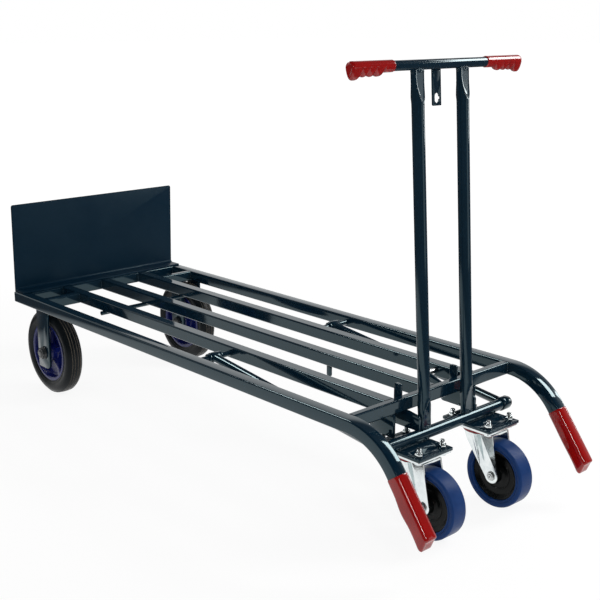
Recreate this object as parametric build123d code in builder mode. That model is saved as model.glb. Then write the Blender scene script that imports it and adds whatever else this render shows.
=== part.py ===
"""Convertible platform truck: slatted deck on two fixed wheels, with a folding castor frame and T-handle.

Millimetres. X runs along the deck (toe plate at -X, handle at +X), Y runs across it, Z is up from the
floor. The origin lies under the middle of the bounding box. Left is -Y, right is +Y.
"""
import os
from math import cos, hypot, radians, sin, tan

from build123d import *

os.makedirs("parts", exist_ok=True)

SIDES = (("left", -1), ("right", 1))

# Deck frame of square tube
OVERALL_LENGTH = 1325.8
FRAME_WIDTH = 467.0
TUBE = 25.0
TUBE_CORNER = 3.0
TUBE_WALL = 2.0
DECK_BARS = 3
TOE_TUBE_INSET = 12.0
HANDLE_TUBE_DEPTH = 15.0
PLUG_FLANGE = 2.0
PLUG_DEPTH = 12.0

# Toe plate, bent up from one sheet
TOE_PLATE_WIDTH = 460.0
TOE_PLATE_HEIGHT = 211.5
TOE_PLATE_THICKNESS = 4.0
TOE_FLANGE = 40.0
TOE_LEAN = 2.0
TOE_BEND = 6.0
TOE_CORNER = 5.0

# Bent rail ends and their grips
RAIL_BEND_RADIUS = 131.0
RAIL_BEND_ANGLE = 53.4
RAIL_TAIL = 6.0
RAIL_GRIP_LENGTH = 117.0
RAIL_GRIP_WALL = 2.25
RAIL_GRIP_CORNER = 6.0
RAIL_GRIP_END = 6.0
RAIL_GRIP_ROUND = 5.5
RAIL_GRIP_SWELL = 4.6
RAIL_GRIP_SWELL_START = 22.0
RAIL_GRIP_SWELL_END = 88.0
RAIL_GRIP_SWELL_DEPTH = 18.0

# Fixed wheels and the flat legs that hold them
WHEEL_DIAMETER = 203.0
WHEEL_WIDTH = 42.0
TYRE_DEPTH = 31.0
TYRE_SHOULDER = 11.0
RIM_WIDTH = 36.0
RIM_BAND = 8.0
RIM_HUB_DIAMETER = 44.0
RIM_SPOKES = 5
RIM_SPOKE_WIDTH = 15.0
RIM_SPOKE_DEPTH = 24.0
RIM_WEB = 6.0
WHEEL_TOP_GAP = 4.0
WHEEL_SIDE_GAP = 2.5
HUB_SIDE_GAP = 0.5
WHEEL_AXLE_FROM_TOE = 114.0
WHEEL_AXLE_DIAMETER = 16.0
WHEEL_WASHER_DIAMETER = 30.0
WHEEL_WASHER = 2.5
WHEEL_NUT_DIAMETER = 24.0
WHEEL_NUT = 7.0
WHEEL_BOLT_TAIL = 1.0
LEG_WIDTH = 50.0
LEG_THICKNESS = 5.0
LEG_BELOW_AXLE = 37.0
LEG_ROUND = 14.0
LEG_INSET = 9.0
WHEEL_TUBE_DEPTH = 15.0
WHEEL_TUBE_SETBACK = 9.0

# Stop bar under the deck
FOOT_BAR_FROM_TOE = 220.0
FOOT_BAR_DIAMETER = 10.0
FOOT_BAR_OVERHANG = 4.0
WELD_FLAT = 0.5

# Castors
CASTOR_DIAMETER = 125.0
CASTOR_WIDTH = 36.0
CASTOR_TYRE_DEPTH = 14.0
CASTOR_TYRE_ROUND = 4.0
CASTOR_DISH = 9.0
CASTOR_TRAIL = 48.0
CASTOR_SPACING = 189.0
CASTOR_AXLE_DIAMETER = 12.0
CASTOR_HUB_DIAMETER = 30.0
CASTOR_HUB_GAP = 1.0
CASTOR_WEB = 16.0
CROWN_GAP = 11.5
CROWN = 4.0
FORK_GAP = 3.0
FORK_WALL = 3.0
FORK_BOSS = 28.0
FORK_REAR = 20.5
FORK_FRONT = 46.0
FORK_WAIST = 11.5
FORK_WAIST_DROP = 17.5
SEAL_DIAMETER = 60.0
SEAL_HEIGHT = 6.0
SWIVEL_GAP = 0.45
KINGPIN_DIAMETER = 14.0
KINGPIN_HEAD_DIAMETER = 22.0
KINGPIN_HEAD = 5.0
CASTOR_PLATE = 4.0
CASTOR_PLATE_LENGTH = 107.0
CASTOR_PLATE_WIDTH = 86.0
CASTOR_PLATE_CORNER = 4.0
BOLT_SPAN_X = 83.0
BOLT_SPAN_Y = 61.0
BOLT_DIAMETER = 8.0
BOLT_HEAD_DIAMETER = 13.0
BOLT_HEAD = 5.0
NUT = 6.5
BOLT_TAIL = 8.0

# Castor frame with its T-handle
MOUNT_PLATE = 5.0
MOUNT_PLATE_LENGTH = 110.0
MOUNT_PLATE_WIDTH = 88.0
MOUNT_PLATE_CORNER = 2.0
MOUNT_AHEAD = 4.0
CROSS_DIAMETER = 21.3
CROSS_WALL = 2.6
CROSS_OVERHANG = 3.0
HANDLE_LEAN = 3.8
HANDLE_HEIGHT = 799.5
HANDLE_GAP = 10.3
UPRIGHT_SPACING = 116.0
UPRIGHT_DIAMETER = 22.0
UPRIGHT_WALL = 2.0
CRIMP_WIDTH = 26.5
CRIMP_DEPTH = 9.5
CRIMP_LENGTH = 34.0
CRIMP_START = 16.0
HANDLE_BAR_DIAMETER = 17.2
HANDLE_BAR_WALL = 2.0
HANDLE_SPAN = 430.0
HANDLE_GRIP_LENGTH = 97.0
HANDLE_GRIP_DIAMETER = 20.0
HANDLE_GRIP_END = 6.0
HANDLE_GRIP_KEEL = 13.0
HANDLE_GRIP_PLAIN = 24.0
HANDLE_GRIP_FLARE = 19.8
HANDLE_GRIP_HEEL = 21.0
FINGER_NOTCHES = 3
FINGER_PITCH = 15.6
FINGER_RADIUS = 5.0
FINGER_CREST = 15.8
FINGER_VALLEY = 11.6
HOOK_WIDTH = 22.0
HOOK_THICKNESS = 3.0
HOOK_DROP = 69.0
HOOK_RISE = 5.0
HOOK_HOLE = 11.0
HOOK_HOLE_LENGTH = 16.7
HOOK_HOLE_RISE = 13.0
HOOK_NOTCH = 8.4
HOOK_SLOT = 4.0

# Hooked plates that carry the handle tube at rest
CRADLE_THICKNESS = 6.0
CRADLE_SIDE_GAP = 4.0
CRADLE_SEAT_GAP = 0.5
CRADLE_BACK_GAP = 1.5
CRADLE_FINGER = 15.5
CRADLE_RISE = 19.0
CRADLE_DROP = 31.5
CRADLE_HEEL = 24.0
CRADLE_AHEAD = 4.0
CRADLE_SLOPE = 4.0
CRADLE_ROUND = 7.0
CRADLE_TIP = 3.5

# Stays and their axles
STAY_AXLE_BEHIND = 437.0
STAY_AXLE_DIAMETER = 12.0
STAY_DIAMETER = 17.0
STAY_EYE_WIDTH = 20.0
STAY_EYE_DIAMETER = 21.0
STAY_RING_DIAMETER = 25.3
COLLAR_DIAMETER = 19.0
COLLAR_WIDTH = 6.0
COLLAR_GAP = 0.5

# Gussets under the outer bars, catch under the middle bar, latch on the right bar
GUSSET_THICKNESS = 6.0
GUSSET_LENGTH = 62.0
GUSSET_DROP = 43.0
GUSSET_CHAMFER = 16.0
CATCH_BEHIND = 278.0
CATCH_WIDTH = 12.0
CATCH_THICKNESS = 4.0
CATCH_DROP = 26.0
CATCH_ROUND = 5.0
LATCH_BEHIND = 71.0
LATCH_LENGTH = 50.0
LATCH_WIDTH = 20.0
LATCH_THICKNESS = 5.0
LATCH_SLOPE = 20.0
LATCH_SIDE_GAP = 5.5
LATCH_PIN_DIAMETER = 8.0
LATCH_PIN_HEAD_DIAMETER = 14.0
LATCH_PIN_HEAD = 2.5
LATCH_SHOULDER_DIAMETER = 13.0

# Radial running clearance of every turning fit
RUNNING_FIT = 0.05

# Heights
deck_z = WHEEL_DIAMETER + WHEEL_TOP_GAP + TUBE
tube_z = deck_z - TUBE / 2
under_z = deck_z - TUBE
wheel_z = WHEEL_DIAMETER / 2
castor_z = CASTOR_DIAMETER / 2
crown_z = CASTOR_DIAMETER + CROWN_GAP
seal_z = crown_z + CROWN
castor_plate_z = seal_z + SEAL_HEIGHT + SWIVEL_GAP
mount_plate_z = castor_plate_z + CASTOR_PLATE
mount_top_z = mount_plate_z + MOUNT_PLATE
cross_z = mount_top_z + CROSS_DIAMETER / 2 - WELD_FLAT

# Positions across
rail_y = (FRAME_WIDTH - TUBE) / 2
rail_in_y = rail_y - TUBE / 2
bar_pitch = (FRAME_WIDTH - TUBE) / (DECK_BARS + 1)
bar_y = bar_pitch * (DECK_BARS - 1) / 2
bar_out_y = bar_y + TUBE / 2
bar_in_y = bar_y - TUBE / 2
leg_out_y = FRAME_WIDTH / 2 - LEG_INSET - LEG_THICKNESS
hub_width = WHEEL_WIDTH + 2 * (WHEEL_SIDE_GAP - HUB_SIDE_GAP)
wheel_y = leg_out_y - WHEEL_SIDE_GAP - WHEEL_WIDTH / 2
leg_in_y = wheel_y - WHEEL_WIDTH / 2 - WHEEL_SIDE_GAP
stay_y = (rail_in_y + bar_out_y) / 2
cross_half = stay_y + STAY_EYE_WIDTH / 2 + CROSS_OVERHANG
upright_y = UPRIGHT_SPACING / 2
castor_y = CASTOR_SPACING / 2
cradle_y = upright_y + UPRIGHT_DIAMETER / 2 + CRADLE_SIDE_GAP
latch_y = cradle_y - LATCH_SIDE_GAP - LATCH_THICKNESS

# Positions along
bend = radians(RAIL_BEND_ANGLE)
lean = radians(HANDLE_LEAN)
rail_grip = TUBE + 2 * RAIL_GRIP_WALL
grip_x = RAIL_BEND_RADIUS * sin(bend) + RAIL_TAIL * cos(bend)
grip_drop = RAIL_BEND_RADIUS * (1 - cos(bend)) + RAIL_TAIL * sin(bend)
grip_reach = grip_x + RAIL_GRIP_LENGTH * cos(bend) + rail_grip / 2 * sin(bend)
toe_x = -OVERALL_LENGTH / 2
rail_x = toe_x + TOE_PLATE_THICKNESS
bend_x = OVERALL_LENGTH / 2 - grip_reach + RAIL_GRIP_ROUND * (cos(bend) + sin(bend) - 1)
handle_x = bend_x
handle_back_x = handle_x - HANDLE_TUBE_DEPTH
toe_tube_x = rail_x + TOE_TUBE_INSET
wheel_x = toe_x + WHEEL_AXLE_FROM_TOE
wheel_tube_x = wheel_x - WHEEL_TUBE_SETBACK
foot_x = toe_x + FOOT_BAR_FROM_TOE
cross_x = handle_x + HANDLE_GAP + UPRIGHT_DIAMETER / 2 / cos(lean) + (tube_z - cross_z) * tan(lean)
swivel_x = cross_x + MOUNT_AHEAD
castor_x = swivel_x + CASTOR_TRAIL
stay_x = handle_x - STAY_AXLE_BEHIND
upright_length = (HANDLE_HEIGHT - cross_z) / cos(lean)
latch_x = handle_back_x - LATCH_BEHIND
catch_x = handle_x - CATCH_BEHIND


def save(part: Part, label: str) -> None:
    """Names a finished sub-part and writes its STEP file."""
    part.label = label
    export_step(part, f"parts/{label}.step")


def block(x: tuple, y: tuple, z: tuple) -> Part:
    """A plain rectangular piece between the given limits."""
    with BuildPart() as piece:
        with BuildSketch(Plane.XY.offset(min(z))):
            with Locations((sum(x) / 2, sum(y) / 2)):
                Rectangle(abs(x[1] - x[0]), abs(y[1] - y[0]))
        extrude(amount=abs(z[1] - z[0]))
    return piece.part


def tube_along_x(x: tuple, y: float) -> Part:
    """A square deck tube running along X at deck level."""
    with BuildPart() as piece:
        with BuildSketch(Plane.YZ.offset(x[0])):
            with Locations((y, tube_z)):
                RectangleRounded(TUBE, TUBE, TUBE_CORNER)
                RectangleRounded(
                    TUBE - 2 * TUBE_WALL, TUBE - 2 * TUBE_WALL, TUBE_CORNER - TUBE_WALL, mode=Mode.SUBTRACT
                )
        extrude(amount=x[1] - x[0])
    return piece.part


def tube_along_y(x: float, depth: float, y: tuple) -> Part:
    """A rectangular deck tube running along Y at deck level, its back face at x."""
    with BuildPart() as piece:
        with BuildSketch(Plane.XZ.offset(-max(y))):
            with Locations((x + depth / 2, tube_z)):
                RectangleRounded(depth, TUBE, TUBE_CORNER)
                RectangleRounded(
                    depth - 2 * TUBE_WALL, TUBE - 2 * TUBE_WALL, TUBE_CORNER - TUBE_WALL, mode=Mode.SUBTRACT
                )
        extrude(amount=abs(y[1] - y[0]))
    return piece.part


def rod_along_y(x: float, z: float, y: tuple, diameter: float, bore: float = 0.0) -> Part:
    """A round piece along Y, hollow when a bore is given."""
    with BuildPart() as piece:
        with BuildSketch(Plane.XZ.offset(-max(y))):
            with Locations((x, z)):
                Circle(diameter / 2)
                if bore:
                    Circle(bore / 2, mode=Mode.SUBTRACT)
        extrude(amount=abs(y[1] - y[0]))
    return piece.part


def rod_along_z(x: float, y: float, z: tuple, diameter: float, bore: float = 0.0) -> Part:
    """A round piece along Z, hollow when a bore is given."""
    with BuildPart() as piece:
        with BuildSketch(Plane.XY.offset(min(z))):
            with Locations((x, y)):
                Circle(diameter / 2)
                if bore:
                    Circle(bore / 2, mode=Mode.SUBTRACT)
        extrude(amount=abs(z[1] - z[0]))
    return piece.part


def side_rail(side: int) -> Part:
    """One deck rail, straight from the toe end and bent down at the handle end."""
    with BuildPart() as rail:
        with BuildLine(Plane.XZ.offset(-side * rail_y)) as path:
            deck = Line((rail_x, tube_z), (bend_x, tube_z))
            turn = JernArc(deck @ 1, deck % 1, RAIL_BEND_RADIUS, -RAIL_BEND_ANGLE)
            PolarLine(turn @ 1, RAIL_TAIL + RAIL_GRIP_LENGTH - RAIL_GRIP_END, direction=turn % 1)
        with BuildSketch(Plane((rail_x, side * rail_y, tube_z), x_dir=(0, 1, 0), z_dir=(1, 0, 0))):
            RectangleRounded(TUBE, TUBE, TUBE_CORNER)
            RectangleRounded(
                TUBE - 2 * TUBE_WALL, TUBE - 2 * TUBE_WALL, TUBE_CORNER - TUBE_WALL, mode=Mode.SUBTRACT
            )
        sweep(path=path.line)
    return rail.part


def rail_grip_sleeve(side: int) -> Part:
    """The soft sleeve over the bent end of one rail, closed at the tip, with a palm swell on its outer side."""
    start = (bend_x + grip_x, side * rail_y, tube_z - grip_drop)
    along = Plane(start, x_dir=(0, 1, 0), z_dir=(cos(bend), 0, -sin(bend)))
    flank = Plane(start, x_dir=(cos(bend), 0, -sin(bend)), z_dir=(sin(bend), 0, cos(bend)))
    wall = side * rail_grip / 2
    root = side * (rail_grip / 2 - RAIL_GRIP_CORNER)
    crown = ((RAIL_GRIP_SWELL_START + RAIL_GRIP_SWELL_END) / 2, wall + side * RAIL_GRIP_SWELL)
    with BuildPart() as sleeve:
        with BuildSketch(along):
            RectangleRounded(rail_grip, rail_grip, RAIL_GRIP_CORNER)
        extrude(amount=RAIL_GRIP_LENGTH)
        tip = sleeve.faces().sort_by(Axis((0, 0, 0), (cos(bend), 0, -sin(bend))))[-1]
        fillet(tip.edges(), RAIL_GRIP_ROUND)
        with BuildSketch(flank.offset(RAIL_GRIP_CORNER - rail_grip / 2)):
            with BuildLine():
                ThreePointArc((RAIL_GRIP_SWELL_START, wall), crown, (RAIL_GRIP_SWELL_END, wall))
                Line((RAIL_GRIP_SWELL_END, wall), (RAIL_GRIP_SWELL_END, root))
                Line((RAIL_GRIP_SWELL_END, root), (RAIL_GRIP_SWELL_START, root))
                Line((RAIL_GRIP_SWELL_START, root), (RAIL_GRIP_SWELL_START, wall))
            make_face()
        extrude(amount=RAIL_GRIP_SWELL_DEPTH)
        with BuildSketch(along):
            RectangleRounded(TUBE, TUBE, TUBE_CORNER)
        extrude(amount=RAIL_GRIP_LENGTH - RAIL_GRIP_END, mode=Mode.SUBTRACT)
    return sleeve.part


def rail_plug(side: int) -> Part:
    """The plug in the open toe end of one rail."""
    bore = TUBE - 2 * TUBE_WALL
    with BuildPart() as plug:
        with BuildSketch(Plane.YZ.offset(rail_x - PLUG_FLANGE)):
            with Locations((side * rail_y, tube_z)):
                RectangleRounded(TUBE, TUBE, TUBE_CORNER)
        extrude(amount=PLUG_FLANGE)
        with BuildSketch(Plane.YZ.offset(rail_x)):
            with Locations((side * rail_y, tube_z)):
                RectangleRounded(bore, bore, TUBE_CORNER - TUBE_WALL)
        extrude(amount=PLUG_DEPTH)
    return plug.part


def bent_toe_plate() -> Part:
    """The upright sheet at the toe end with the flange that lies on the deck."""
    tilt = radians(TOE_LEAN)
    top_z = deck_z + TOE_PLATE_HEIGHT
    wall = TOE_PLATE_THICKNESS / cos(tilt)
    inner = toe_x + wall + TOE_PLATE_THICKNESS * tan(tilt)
    slope = TOE_PLATE_HEIGHT * tan(tilt)
    with BuildPart() as plate:
        with BuildSketch(Plane.XZ):
            with BuildLine():
                Polyline(
                    (toe_x, deck_z),
                    (toe_x + TOE_FLANGE, deck_z),
                    (toe_x + TOE_FLANGE, deck_z + TOE_PLATE_THICKNESS),
                    (inner, deck_z + TOE_PLATE_THICKNESS),
                    (toe_x + slope + wall, top_z),
                    (toe_x + slope, top_z),
                    close=True,
                )
            profile = make_face()
            corners = profile.vertices().sort_by(Axis.Z)
            outer_corner = [v for v in corners if abs(v.X - toe_x) < 0.01]
            inner_corner = [v for v in corners if abs(v.X - inner) < 0.01]
            fillet(inner_corner, TOE_BEND)
            fillet(outer_corner, TOE_BEND + TOE_PLATE_THICKNESS)
        extrude(amount=TOE_PLATE_WIDTH / 2, both=True)
        upper = plate.edges().filter_by(Axis.X, tolerance=0.1).filter_by_position(Axis.Z, top_z - 1, top_z + 1)
        fillet(upper, TOE_CORNER)
    return plate.part


def wheel_leg(y: float) -> Part:
    """One flat-bar leg of a fixed wheel, its inner face at the given distance across."""
    with BuildPart() as leg:
        with BuildSketch(Plane.XZ.offset(-(y + LEG_THICKNESS))):
            with Locations((wheel_x, (under_z + wheel_z - LEG_BELOW_AXLE) / 2)):
                Rectangle(LEG_WIDTH, under_z - wheel_z + LEG_BELOW_AXLE)
            feet = vertices().sort_by(Axis.Z)[:2]
            fillet(feet, LEG_ROUND)
            with Locations((wheel_x, wheel_z)):
                Circle(WHEEL_AXLE_DIAMETER / 2, mode=Mode.SUBTRACT)
        extrude(amount=LEG_THICKNESS)
    return leg.part


def wheel_bolt(side: int) -> Part:
    """The axle bolt of one fixed wheel, its head on the inner leg."""
    head = side * leg_in_y - side * LEG_THICKNESS
    tail = side * (leg_out_y + LEG_THICKNESS + WHEEL_WASHER + WHEEL_NUT + WHEEL_BOLT_TAIL)
    with BuildPart() as bolt:
        add(rod_along_y(wheel_x, wheel_z, (head, tail), WHEEL_AXLE_DIAMETER))
        with BuildSketch(Plane.XZ.offset(-max(head, head - side * WHEEL_NUT))):
            with Locations((wheel_x, wheel_z)):
                RegularPolygon(WHEEL_NUT_DIAMETER / 2, 6, major_radius=False)
        extrude(amount=WHEEL_NUT)
    return bolt.part


def wheel_nut(side: int) -> Part:
    """The washer and nut on the outer leg of one fixed wheel."""
    face = side * (leg_out_y + LEG_THICKNESS)
    seat = face + side * WHEEL_WASHER
    with BuildPart() as nut:
        add(rod_along_y(wheel_x, wheel_z, (face, seat), WHEEL_WASHER_DIAMETER, WHEEL_AXLE_DIAMETER))
        with BuildSketch(Plane.XZ.offset(-max(seat, seat + side * WHEEL_NUT))):
            with Locations((wheel_x, wheel_z)):
                RegularPolygon(WHEEL_NUT_DIAMETER / 2, 6, major_radius=False)
                Circle(WHEEL_AXLE_DIAMETER / 2, mode=Mode.SUBTRACT)
        extrude(amount=WHEEL_NUT)
    return nut.part


def rounded_ring(x: float, y: float, z: float, outer: float, inner: float, width: float, shoulder: float) -> Part:
    """A tyre: a ring about a Y axis with rounded shoulders."""
    with BuildPart() as ring:
        add(rod_along_y(x, z, (y - width / 2, y + width / 2), outer, inner))
        rims = ring.edges().filter_by(GeomType.CIRCLE).sort_by(SortBy.RADIUS)[-2:]
        fillet(rims, shoulder)
    return ring.part


def spoked_rim(side: int) -> Part:
    """The spoked rim of one fixed wheel with its plain-bored hub."""
    y = side * wheel_y
    seat = WHEEL_DIAMETER - 2 * TYRE_DEPTH
    bore = WHEEL_AXLE_DIAMETER + 2 * RUNNING_FIT
    spoke = seat / 2 - RIM_BAND / 2
    with BuildPart() as rim:
        add(rod_along_y(wheel_x, wheel_z, (y - RIM_WIDTH / 2, y + RIM_WIDTH / 2), seat, seat - 2 * RIM_BAND))
        add(rod_along_y(wheel_x, wheel_z, (y - RIM_WEB / 2, y + RIM_WEB / 2), seat - RIM_BAND))
        add(rod_along_y(wheel_x, wheel_z, (y - hub_width / 2, y + hub_width / 2), RIM_HUB_DIAMETER))
        with BuildSketch(Plane.XZ.offset(-y)):
            with Locations((wheel_x, wheel_z)):
                with PolarLocations(spoke / 2, RIM_SPOKES, start_angle=90):
                    Rectangle(spoke, RIM_SPOKE_WIDTH)
        extrude(amount=RIM_SPOKE_DEPTH / 2, both=True)
        with BuildSketch(Plane.XZ.offset(-(y + hub_width / 2))):
            with Locations((wheel_x, wheel_z)):
                Circle(bore / 2)
        extrude(amount=hub_width, mode=Mode.SUBTRACT)
    return rim.part


def foot_stop() -> Part:
    """The round stop bar welded under the deck bars."""
    end = bar_out_y + FOOT_BAR_OVERHANG
    z = under_z - FOOT_BAR_DIAMETER / 2 + WELD_FLAT
    with BuildPart() as bar:
        add(rod_along_y(foot_x, z, (-end, end), FOOT_BAR_DIAMETER))
        add(block((foot_x - TUBE, foot_x + TUBE), (-end, end), (under_z, under_z + TUBE)), mode=Mode.SUBTRACT)
    return bar.part


def stay(side: int) -> Part:
    """One stay bar with the eye on its axle and the ring round the cross tube."""
    y = side * stay_y
    half = STAY_EYE_WIDTH / 2
    run = hypot(cross_x - stay_x, cross_z - tube_z)
    aim = ((cross_x - stay_x) / run, 0, (cross_z - tube_z) / run)
    with BuildPart() as bar:
        with BuildSketch(Plane((stay_x, y, tube_z), x_dir=(0, 1, 0), z_dir=aim)):
            Circle(STAY_DIAMETER / 2)
        extrude(amount=run)
        add(rod_along_y(stay_x, tube_z, (y - half, y + half), STAY_EYE_DIAMETER))
        add(rod_along_y(cross_x, cross_z, (y - half, y + half), STAY_RING_DIAMETER))
        with BuildSketch(Plane.XZ.offset(-(y + half))):
            with Locations((stay_x, tube_z)):
                Circle(STAY_AXLE_DIAMETER / 2 + RUNNING_FIT)
            with Locations((cross_x, cross_z)):
                Circle(CROSS_DIAMETER / 2 + RUNNING_FIT)
        extrude(amount=2 * half, mode=Mode.SUBTRACT)
    return bar.part


def gusset(side: int) -> Part:
    """The plate under the handle end of one outer deck bar."""
    y = side * bar_y
    with BuildPart() as plate:
        with BuildSketch(Plane.XZ.offset(-y)):
            with BuildLine():
                Polyline(
                    (handle_x, under_z),
                    (handle_x - GUSSET_LENGTH, under_z),
                    (handle_x - GUSSET_LENGTH, under_z - GUSSET_DROP + GUSSET_CHAMFER),
                    (handle_x - GUSSET_LENGTH + GUSSET_CHAMFER, under_z - GUSSET_DROP),
                    (handle_x, under_z - GUSSET_DROP),
                    close=True,
                )
            make_face()
        extrude(amount=GUSSET_THICKNESS / 2, both=True)
    return plate.part


def catch() -> Part:
    """The small lug under the middle deck bar that the hook plate catches on."""
    low_z = under_z - CATCH_DROP
    half = CATCH_WIDTH / 2
    with BuildPart() as lug:
        add(
            block(
                (catch_x - half, catch_x + half), (-CATCH_THICKNESS / 2, CATCH_THICKNESS / 2), (low_z, under_z)
            )
        )
        lower = lug.edges().filter_by(Axis.Y).filter_by_position(Axis.Z, low_z - 1, low_z + 1)
        fillet(lower, CATCH_ROUND)
    return lug.part


def latch_pivot() -> Part:
    """The shouldered pin that carries the latch lever on the right deck bar."""
    shoulder = latch_y + LATCH_THICKNESS + COLLAR_GAP
    tail = latch_y - COLLAR_GAP
    with BuildPart() as pin:
        add(rod_along_y(latch_x, tube_z, (shoulder, bar_in_y), LATCH_SHOULDER_DIAMETER))
        add(rod_along_y(latch_x, tube_z, (tail, shoulder), LATCH_PIN_DIAMETER))
        add(rod_along_y(latch_x, tube_z, (tail - LATCH_PIN_HEAD, tail), LATCH_PIN_HEAD_DIAMETER))
    return pin.part


def latch() -> Part:
    """The flat latch lever, sloping down toward the handle."""
    slope = radians(LATCH_SLOPE)
    half = LATCH_LENGTH / 2
    with BuildPart() as lever:
        with BuildSketch(Plane.XZ.offset(-(latch_y + LATCH_THICKNESS))):
            with Locations((latch_x + half * cos(slope), tube_z - half * sin(slope))):
                SlotCenterToCenter(LATCH_LENGTH, LATCH_WIDTH, rotation=-LATCH_SLOPE)
            with Locations((latch_x, tube_z)):
                Circle(LATCH_PIN_DIAMETER / 2 + RUNNING_FIT, mode=Mode.SUBTRACT)
        extrude(amount=LATCH_THICKNESS)
    return lever.part


handle_plane = Plane((cross_x, 0, cross_z), x_dir=(0, 1, 0), z_dir=(-sin(lean), 0, cos(lean)))
bar_x = cross_x - upright_length * sin(lean)


def upright(side: int) -> Part:
    """One upright tube, flattened at both ends where it is welded on."""
    levels = (CRIMP_START, CRIMP_START + CRIMP_LENGTH)
    top_levels = (upright_length - CRIMP_START - CRIMP_LENGTH, upright_length - CRIMP_START)
    y = side * upright_y
    with BuildPart() as post:
        for inset, mode in ((0.0, Mode.ADD), (UPRIGHT_WALL, Mode.SUBTRACT)):
            radius = UPRIGHT_DIAMETER / 2 - inset
            flat = (CRIMP_WIDTH / 2 - inset, CRIMP_DEPTH / 2 - inset)
            for rise, grow in ((levels[0], -1), (top_levels[1], 1)):
                with BuildSketch(handle_plane.offset(rise)):
                    with Locations((y, 0)):
                        Ellipse(*flat)
                extrude(amount=CRIMP_START * grow, mode=mode)
            for near, far in ((levels[0], levels[1]), (top_levels[1], top_levels[0])):
                with BuildSketch(handle_plane.offset(near)):
                    with Locations((y, 0)):
                        Ellipse(*flat)
                with BuildSketch(handle_plane.offset(far)):
                    with Locations((y, 0)):
                        Circle(radius)
                loft(mode=mode)
            with BuildSketch(handle_plane.offset(levels[1])):
                with Locations((y, 0)):
                    Circle(radius)
            extrude(amount=top_levels[0] - levels[1], mode=mode)
        ends = (y - CRIMP_WIDTH, y + CRIMP_WIDTH)
        add(rod_along_y(cross_x, cross_z, ends, CROSS_DIAMETER), mode=Mode.SUBTRACT)
        add(rod_along_y(bar_x, HANDLE_HEIGHT, ends, HANDLE_BAR_DIAMETER), mode=Mode.SUBTRACT)
    return max(post.part.solids(), key=lambda solid: solid.volume)


def handle_grip(side: int) -> Part:
    """One soft handle grip: a plain sleeve, then finger bumps below and a deep, closed outer end."""
    outer = side * HANDLE_SPAN / 2
    inner = outer - side * HANDLE_GRIP_LENGTH
    plain = inner + side * HANDLE_GRIP_PLAIN
    tube_end = outer - side * HANDLE_GRIP_END
    heel = outer - side * HANDLE_GRIP_HEEL
    crest_z = HANDLE_HEIGHT - FINGER_CREST
    notch_z = HANDLE_HEIGHT - FINGER_VALLEY - FINGER_RADIUS
    bar = rod_along_y(bar_x, HANDLE_HEIGHT, (inner, tube_end), HANDLE_BAR_DIAMETER)
    sleeve = rod_along_y(bar_x, HANDLE_HEIGHT, (inner, outer), HANDLE_GRIP_DIAMETER)
    with BuildPart() as grip:
        with BuildSketch(Plane.XZ.offset(-max(plain, outer))):
            with Locations((bar_x, HANDLE_HEIGHT)):
                Circle(HANDLE_GRIP_DIAMETER / 2)
            with Locations((bar_x, HANDLE_HEIGHT - HANDLE_GRIP_FLARE + HANDLE_GRIP_KEEL / 2)):
                Circle(HANDLE_GRIP_KEEL / 2)
            make_hull()
        extrude(amount=abs(outer - plain))
        with BuildSketch(Plane.YZ.offset(bar_x)):
            with Locations(((plain + heel) / 2, crest_z - FINGER_RADIUS)):
                Rectangle(abs(heel - plain), 2 * FINGER_RADIUS)
            for index in range(FINGER_NOTCHES):
                with Locations((heel - side * FINGER_PITCH * index, notch_z)):
                    Circle(FINGER_RADIUS)
        extrude(amount=HANDLE_GRIP_DIAMETER, both=True, mode=Mode.SUBTRACT)
        add(sleeve)
        end_face = grip.faces().sort_by(Axis((0, 0, 0), (0, side, 0)))[-1]
        fillet(end_face.edges(), HANDLE_GRIP_END / 2)
        add(bar, mode=Mode.SUBTRACT)
    return grip.part


def hook() -> Part:
    """The keyhole plate welded behind the middle of the handle bar."""
    hole = upright_length - HOOK_DROP + HOOK_HOLE_RISE
    bar = rod_along_y(bar_x, HANDLE_HEIGHT, (-HOOK_WIDTH, HOOK_WIDTH), HANDLE_BAR_DIAMETER)
    face = Plane((cross_x, 0, cross_z), x_dir=(0, 1, 0), z_dir=(cos(lean), 0, sin(lean)))
    with BuildPart() as plate:
        with BuildSketch(face.offset(WELD_FLAT - HANDLE_BAR_DIAMETER / 2 - HOOK_THICKNESS)):
            with Locations((0, upright_length + (HOOK_RISE - HOOK_DROP) / 2)):
                Rectangle(HOOK_WIDTH, HOOK_DROP + HOOK_RISE)
            feet = vertices().sort_by(Axis.Z)[:2]
            fillet(feet, HOOK_WIDTH / 8)
            with Locations((0, hole)):
                SlotOverall(HOOK_HOLE_LENGTH, HOOK_HOLE, rotation=90, mode=Mode.SUBTRACT)
            with Locations((HOOK_NOTCH / 2, hole)):
                Rectangle(HOOK_NOTCH, HOOK_SLOT, mode=Mode.SUBTRACT)
        extrude(amount=HOOK_THICKNESS)
        add(bar, mode=Mode.SUBTRACT)
    return plate.part


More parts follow.
